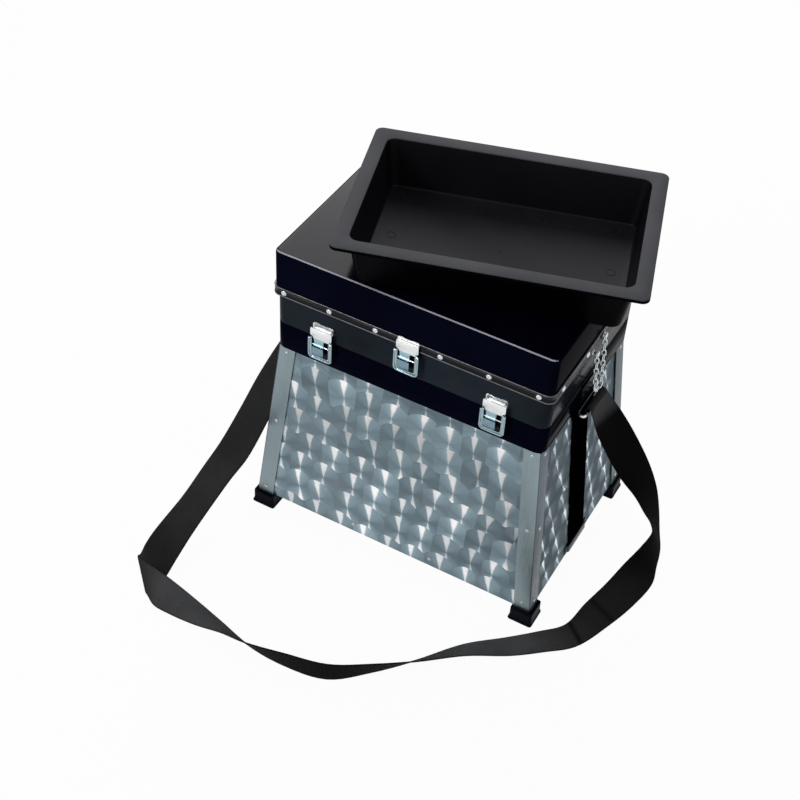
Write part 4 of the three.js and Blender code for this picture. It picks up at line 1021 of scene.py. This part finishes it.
def latch(latch_name, x, pivot, catch_stand, base_body, catch_body):
    """A draw latch. Its flat points are (sideways, up from the pivot), and stand is outward."""
    lever_body, claw_body = f"lever_{latch_name}", f"claw_{latch_name}"
    outward = (0, -1, 0)

    def at(u, rise, stand):
        return Vector((x + u, -TIER_Y - stand, pivot + rise))

    def across(stand, rise, u):
        return at(u, rise, stand)

    def finish(piece, node, bm, material, body, other=()):
        finish_mesh(
            f"{piece}_{latch_name}", bm, material, body, (f"latch_{node}_{latch_name}",),
            other=other,
        )

    def base():
        bm = bmesh.new()
        plate = rounded([(-14, -35), (14, -35), (14, -4.2), (-14, -4.2)], [3, 3, 0, 0])
        prism(bm, plate, at, 0.3, 1.5, 0.25)
        ear = rounded(
            [(0.3, -5), (6.6, -5), (7.4, 0.5), (5.4, 2.6), (3.4, 2.4), (0.3, 2.4)],
            [0, 2, 3, 2, 1, 0],
        )
        for side in (-1, 1):
            prism(bm, ear, across, *span(side, 12.9, 14.1), 0.2)
            dome(bm, at(side * 7.7, -25.2, 1.5), outward, 2.8, 1.2)
        # The base takes the near-black copy of nickel: painted shade
        finish("base", "base", bm, NICKEL_PAINTED_DEEP_SHADE, base_body)

    def lever():
        """A U-shaped pressing with a raised outer rim, side flanges and a bead round its window."""
        bm = bmesh.new()
        half, opening, top, drop, sill, plate = 18.0, 12.5, 3.5, 31.5, 5.4, 8.5
        outline = rounded([
            (-half, top), (-half, -drop), (half, -drop), (half, top),
            (opening, top), (opening, sill - drop), (-opening, sill - drop), (-opening, top),
        ], [1.5, 7.5, 7.5, 1.5, 1.0, 2.4, 2.4, 1.0], 6)
        prism(bm, outline, at, plate, plate + 1.2, 0.35)
        lip = opening + 0.9
        for edge, rise, low, bend, steps, radius, sides in (
            (half - 1.0, top - 0.3, 1.0 - drop, 6.6, 8, 1.15, 10),
            (lip, top - 0.4, sill - drop - 0.9, 2.6, 5, 0.5, 8),
        ):
            path = rounded(
                [(-edge, rise), (-edge, low), (edge, low), (edge, rise)], [0, bend, bend, 0], steps
            )
            points = [at(u, height, plate + 1.1) for u, height in path]
            tube(bm, points, radius, outward, sides, closed=False)
        edge, rise, inside = half - 0.2, top - 0.5, 1.3 - drop
        skirt = rounded([
            (-edge, rise), (-edge, 0.2 - drop), (edge, 0.2 - drop), (edge, rise),
            (edge - 1.1, rise), (edge - 1.1, inside), (1.1 - edge, inside), (1.1 - edge, rise),
        ], [0, 7.3, 7.3, 0, 0, 6.2, 6.2, 0], 6)
        prism(bm, skirt, at, plate - 2.6, plate + 0.8)
        low, high = sill - drop - 0.6, -12.5
        recess = rounded([(-13.1, low), (4.25, low), (4.25, high), (-13.1, high)], [2] + [0.5] * 3)
        prism(bm, recess, at, plate, plate + 0.6, 0.15)
        flange = rounded(
            [(2.6, -12), (plate + 0.5, -12), (plate + 0.5, 3.0), (6.0, 3.4), (2.6, 2.0)],
            [3, 0, 1, 2, 2],
        )
        for side in (-1, 1):
            prism(bm, flange, across, *span(side, 15.2, 16.4), 0.2)
            left, right = span(side, 14.3, 17.6)
            rod(bm, at(left, 1.2, plate + 0.6), at(right, 1.2, plate + 0.6), 2.1, 18, 0.4)

        def on_recess(spot, facing):
            return (
                abs(spot.x - x + 4.4) < 8.8 and pivot + low < spot.z < pivot - 12.4
                and abs(-TIER_Y - spot.y - plate - 0.5) < 0.2
            )

        # The lever frame takes the darker bluish nickel and its recess the shade copy: painted
        # shade
        finish("lever_pressing", "lever", bm, NICKEL_PAINTED_BLUE_SHADE, lever_body, ((NICKEL_SHADE, on_recess),))

    def claw():
        """A wide head over the lever, and a pressed tongue down to its pin."""
        bm = bmesh.new()
        head, left, right, flat, tongue_top = 16.0, -10.25, 4.25, 6.6, 1.5
        outline = rounded([
            (left, -9.2), (right, -9.2), (right, 0.5), (12.2, 1.7), (12.2, 4.2), (head, 5.4),
            (head, 18.4), (-head, 18.4), (-head, 5.4), (-12.2, 4.2), (-12.2, 1.7), (left, 0.5),
        ], [0, 0, 0.8, 1, 0.4, 1.2, 2.2, 2.2, 1.2, 0.4, 0.8, 0.4], 5)
        prism(bm, outline, at, flat, flat + 1.2, 0.35)
        pressed = rounded([(-13.6, 6.8), (13.6, 6.8), (13.6, 16), (-13.6, 16)], [2.5] * 4, 5)
        prism(bm, pressed, at, flat + 1.0, flat + 1.8, 0.5, 3)
        lip = rounded([
            (flat - 1.0, 16.6), (flat - 1.0, 18.3), (flat + 0.9, 18.3), (flat + 0.9, 16.6),
        ], [0, 0.9, 0, 0])
        prism(bm, lip, across, -head + 0.5, head - 0.5, 0.2)
        rod(bm, at(left, -9, 7.2), at(right, -9, 7.2), 2.3, 20, 0.3)
        bmesh.ops.bisect_plane(
            bm, geom=bm.verts[:] + bm.edges[:] + bm.faces[:],
            plane_co=(0, 0, pivot + tongue_top), plane_no=(0, 0, 1),
        )
        # Below tongue_top the claw takes the pale bluish copy of nickel: painted shade
        tongue = (NICKEL_PAINTED_PALE_SHADE, lambda spot, facing: spot.z < pivot + tongue_top)
        # The claw plate takes the near-white nickel: a painted highlight on its head
        finish("claw_plate", "claw", bm, NICKEL_PAINTED_HIGHLIGHT, claw_body, (tongue,))

    def catch():
        """A lobed plate with a nose under the claw's lip."""
        bm = bmesh.new()
        back = catch_stand + 0.3
        outline = rounded([
            (-15.5, 12.5), (-11.5, 8.5), (11.5, 8.5), (15.5, 12.5), (15.5, 21), (13.5, 23),
            (7.5, 23), (5.1, 22.2), (-5.1, 22.2), (-7.5, 23), (-13.5, 23), (-15.5, 21),
        ], [2.5] * 4 + [2, 2] + [1.5] * 4 + [2, 2], 5)
        prism(bm, outline, at, back, back + 1.2, 0.3)
        nose = rounded(
            [(back + 1, 12.2), (5.4, 12.2), (6.2, 13.9), (5.4, 15.6), (back + 1, 15.6)],
            [0, 0.8, 0.8, 0.8, 0],
        )
        prism(bm, nose, across, -11, 11, 0.2)
        for side in (-1, 1):
            dome(bm, at(side * 11.5, 12.5, back + 1.2), outward, 2.8, 0.8)
        # The catch takes the near-white nickel: a painted highlight
        finish("catch_plate", "catch", bm, NICKEL_PAINTED_HIGHLIGHT, catch_body)

    def pins():
        bm = bmesh.new()
        for side in (-1, 1):
            left, right = span(side, 16.7, 17.3)
            rod(bm, at(left, 0, 5), at(right, 0, 5), 1.95, 20, 0.15)
        rod(bm, at(-16.9, 0, 5), at(16.9, 0, 5), 1.3, 18)
        finish("pivot", "pivot_pin", bm, NICKEL, base_body)
        bm = bmesh.new()
        rod(bm, at(-16.0, -9, 7.2), at(16.0, -9, 7.2), 1.02, 16, 0.2)
        finish("claw_pin", "claw_pin", bm, NICKEL, claw_body)

    for make in (base, lever, claw, catch, pins):
        make()


latch("left", -124, 350.0, 0.0, "box", "upper_tier")
latch("right", 128, 350.0, 0.0, "box", "upper_tier")
latch("middle", 2, 389.0, 3.8, "upper_tier", "lid")


def strap_ring(hand_name, hand):
    bm = bmesh.new()
    half, corner, shift = 33.0, 4.0, -4.0
    centre, reach = (RING_INNER + RING_OUTER) / 2, (RING_OUTER - RING_INNER) / 2
    points = [
        Vector((hand * (centre + p.x), shift + p.y, RING_HEIGHT - (p.x / reach + 1) / 2))
        for p in rounded_ring(reach, half, corner, 0, 6)
    ]
    tube(bm, points, 2.0, (0, 0, 1), 14)
    # A painted glint: the dark ring's near outer corner takes plain nickel
    painted_glint = (NICKEL, lambda spot, facing: abs(spot.x) > centre and spot.y < shift + 6 - half)
    finish_mesh(
        f"ring_{hand_name}", bm, RING_STEEL, "box", (f"strap_ring_{hand_name}",),
        other=(painted_glint,),
    )

    bm = bmesh.new()
    plate, top, curl = TIER_X + GAP, 333, 2.3
    line = [(plate, top), (plate, RING_HEIGHT)]
    angles = [math.pi + k / 18 * math.pi * 1.3 for k in range(19)]
    for radius, turns in ((curl + SHEET, angles), (curl, angles[::-1])):
        for angle in turns:
            height = RING_HEIGHT + radius * math.sin(angle)
            line.append((RING_INNER + radius * math.cos(angle), height))
    line += [(plate + SHEET, RING_HEIGHT + curl + SHEET), (plate + SHEET, top)]
    prism(bm, line, lambda a, b, d: Vector((hand * a, shift + d, b)), -23, 23)
    for side in (-1, 1):
        spot = (hand * (plate + SHEET), shift + side * 17.5, 319)
        dome(bm, spot, (hand, 0, 0), *PANEL_RIVET)
    finish_mesh(
        f"bracket_{hand_name}", bm, BLACK_STEEL, "box", (f"ring_bracket_{hand_name}",),
    )


def keeper(hand_name, hand):
    """The strip that holds the webbing to the foot of a side panel."""
    bm = bmesh.new()
    back = post_x(KEEPER_HEIGHT) - PANEL_SET
    lean = Matrix.Rotation(-math.atan(SPLAY_X), 4, "Y")
    turn = Matrix.Translation((back, 0, KEEPER_HEIGHT)) @ lean
    mirror = Matrix.Diagonal((hand, 1, 1, 1))
    end, run, front, top = 36, 26.5, 0.3 + 2.3, 0.3 + SHEET
    outline = rounded([
        (-end, 0.3), (-run, 0.3), (-run, front), (run, front), (run, 0.3), (end, 0.3), (end, top),
        (run + SHEET, top), (run + SHEET, front + SHEET), (-run - SHEET, front + SHEET),
        (-run - SHEET, top), (-end, top),
    ], [0, 0.6, 0.4, 0.4, 0.6, 0, 0, 0.6, 1.0, 1.0, 0.6, 0], 3)
    prism(bm, outline, lambda a, b, d: mirror @ turn @ Vector((b, a, d)), -5.5, 5.5, 0.2)
    for side in (-1, 1):
        spot = mirror @ turn @ Vector((top, side * 32.4, 0))
        dome(bm, spot, (hand, 0, SPLAY_X), 2.2, 1.2)
    # The keeper takes the dark copy of the aluminium: painted shade
    finish_mesh(
        f"keeper_{hand_name}", bm, KEEPER_PAINTED_SHADE, "box", (f"base_keeper_{hand_name}",),
    )


for hand, hand_name in ((1, "right"), (-1, "left")):
    strap_ring(hand_name, hand)
    keeper(hand_name, hand)


def stay_chain():
    wire, link, width, pitch = 0.95, 12.0, 7.4, 9.0
    chain_x, lean, lid_y, tier_y, lid_z, tier_z = TIER_X + 6.8, 5.0, 12.0, -8.0, 401.0, 384.0
    solid_wire, neck, head = 0.9, 1.2, 4.0
    bow = (lid_y - tier_y) / 2
    lowest = RIM_BOTTOM + 8 + bow + pitch / 2
    drop = (link - width) / 2 + width / 2 - solid_wire * 2 - neck - GAP * 2
    line = [Vector((chain_x, lid_y, lid_z - drop)), Vector((chain_x + lean, lid_y, lowest))]
    middle, reach = (lid_y + tier_y) / 2, bow * 4 / 3
    a, b, c, d = (
        Vector((chain_x + lean, y, z)) for y, z in (
            (lid_y, lowest), (middle + bow, lowest - reach), (middle - bow, lowest - reach),
            (tier_y, lowest),
        )
    )
    for k in range(1, 41):
        t = k / 40
        s = 1 - t
        line.append(a * s ** 3 + b * 3 * t * s ** 2 + c * 3 * t * t * s + d * t ** 3)
    line.append(Vector((chain_x, tier_y, tier_z - drop)))
    spans = [(q - p).length for p, q in zip(line, line[1:])]
    total = sum(spans)
    count = round(total / pitch / 2) * 2

    def along(distance):
        for (p, q), length in zip(zip(line, line[1:]), spans):
            if distance <= length:
                return p.lerp(q, distance / length), (q - p).normalized()
            distance -= length
        return line[-1], (line[-1] - line[-2]).normalized()

    bm = bmesh.new()
    outward = Vector((1, 0, 0))
    straight, bend = (link - width) / 2, width / 2 - wire
    for k in range(count + 1):
        centre, ahead = along(total * k / count)
        face = outward if k % 2 == 0 else ahead.cross(outward).normalized()
        side = ahead.cross(face).normalized()
        points = []
        for end in (1, -1):
            for step in range(9):
                angle = step / 8 * math.pi
                points.append(
                    centre + ahead * (end * (straight + bend * math.sin(angle)))
                    + side * (end * bend * math.cos(angle))
                )
        tube(bm, points, wire, face, 8)
    finish_mesh("chain_links", bm, NICKEL, "upper_tier", ("stay_chain",), sharp=70)

    for name, y, z, wall_x, body, node in (
        ("chain_stud_lid", lid_y, lid_z, HALF_X + TRIM_FACE, "lid", "chain_eye_lid"),
        ("chain_stud_tier", tier_y, tier_z, TIER_X, "upper_tier", "chain_eye_tier"),
    ):
        bm = bmesh.new()
        rod(bm, (wall_x + 0.3, y, z), (wall_x + 1.5, y, z), head, 24, 0.35)
        rod(bm, (wall_x + 1.0, y, z), (chain_x + 1.4, y, z), neck, 16)
        dome(bm, (chain_x + 1.3, y, z), (1, 0, 0), head, 1.5, 0.2, 24)
        finish_mesh(name, bm, NICKEL, body, (node,))


stay_chain()


def loose_tray():
    base, height = SEAT + GAP, 71.7
    half_x, half_y = 194.0, 132.5
    flange, floor_inset, thick, lip = 19.8, 29.5, 2.6, 6.0
    under = height - thick
    turn_angle = 16.9
    bm = bmesh.new()
    loft(bm, [
        rounded_ring(half_x - inset, half_y - inset, corner, base + z, 12)
        for inset, corner, z in (
            (floor_inset - thick + 1.6, 13, 0), (floor_inset - thick + 0.5, 14.5, 0.4),
            (floor_inset - thick, 15.6, 1.6), (flange - thick + 0.3, 15.6, under - 0.8),
            (flange - thick - 0.5, 15.6, under), (2.4, 7.6, under), (2.4, 7.6, height - lip),
            (0.5, 9.7, height - lip), (0.0, 10, height - lip + 0.5), (0.0, 10, height - 1.2),
            (0.35, 10, height - 0.35), (1.2, 10, height), (flange - 1.4, 14.2, height),
            (flange - 0.4, 13.4, height - 0.4), (flange, 13, height - 1.4),
            (floor_inset - 0.6, 11.5, 4.8), (floor_inset, 11, 3.6), (floor_inset + 1.2, 10, 3.0),
        )
    ])
    # Ejector marks and the gate scar on the floor
    for mark_x in (-142, -50, 48, 142):
        for mark_y in (-88, -3, 82):
            if abs(mark_x) < 100 and mark_y == -3:
                continue
            middle = Vector((mark_x, mark_y, base + 3.05))
            points = circle(middle, Vector((1, 0, 0)), Vector((0, 1, 0)), 6.2, 28)
            tube(bm, points, 0.42, (0, 0, 1), 6)
    dome(bm, (0, 0, base + 3.0), (0, 0, 1), 1.6, 0.7)
    spin = Matrix.Rotation(math.radians(turn_angle), 4, "Z")
    turn = Matrix.Translation((47.7, 11.5, 0)) @ spin
    back = Matrix.Rotation(math.radians(-turn_angle), 3, "Z")
    bm.transform(turn)

    def on_shaded_outside(spot, facing):
        return (
            spot.z < base + under and facing.z < 0.5
            and (turn.inverted() @ spot).xy.dot((back @ facing).xy) > -1e-3
        )

    # The flange and the floor take painted light, the outside faces painted shade
    finish_mesh(
        "tray_moulding", bm, GREY_TRAY, "tray", ("loose_tray",), sharp=40,
        other=(
            (TRAY_FLANGE_PAINTED_LIGHT, lambda spot, facing: spot.z > base + height - lip - 1),
            (TRAY_FLOOR_PAINTED_LIGHT, lambda spot, facing: spot.z < base + 12 and facing.z > 0.7),
            (TRAY_OUTSIDE_PAINTED_SHADE, on_shaded_outside),
        ),
    )


loose_tray()


# Floor and light
def floor():
    look = Surface("pale_floor")
    look.set({
        "Base Color": (0.85, 0.85, 0.85, 1), "Roughness": 0.9, "Specular IOR Level": 0.0,
    })
    shadow_kept = 0.035
    look.white_where_seen("Emission", 1 - shadow_kept, look.shader, look.output)
    mesh = bpy.data.meshes.new("floor")
    reach = 20.0
    corners = [(x * reach, y * reach, 0) for x, y in ((-1, -1), (1, -1), (1, 1), (-1, 1))]
    mesh.from_pydata(corners, [], [(0, 1, 2, 3)])
    mesh.materials.append(look.material)
    made = put_in_scene("floor", mesh)


def world():
    made = bpy.data.worlds.new("studio")
    bpy.context.scene.world = made
    look = Nodes(made)
    output = look.node("OutputWorld")
    strength = look.remap(look.split("Generated")[0], -1, 0.8, 0.5, 0.1, True)
    lit = look.filled("Background", {0: (0.93, 0.96, 1.0, 1), 1: strength})
    look.white_where_seen("Background", 1.0, lit, output)


def lamp(name, direction, distance, size, power):
    data = bpy.data.lights.new(name, "AREA")
    data.shape = "RECTANGLE"
    data.size, data.size_y = size
    data.energy = power
    made = put_in_scene(name, data)
    direction = Vector(direction).normalized()
    made.location = place(0, 0, 250) + direction * distance
    made.rotation_mode = "QUATERNION"
    made.rotation_quaternion = direction.to_track_quat("Z", "Y")


floor()
world()
lamp("top_back", (-0.32, 0.645, 0.692), 2.3, (1.5, 1.3), 26)
lamp("front_left", (-0.3247, -0.75, 0.57), 2.2, (0.35, 0.35), 13)
lamp("right", (0.8, -0.03, 0.6), 2.4, (0.3, 0.3), 1.5)

scene = bpy.context.scene
scene.view_settings.view_transform = "Standard"
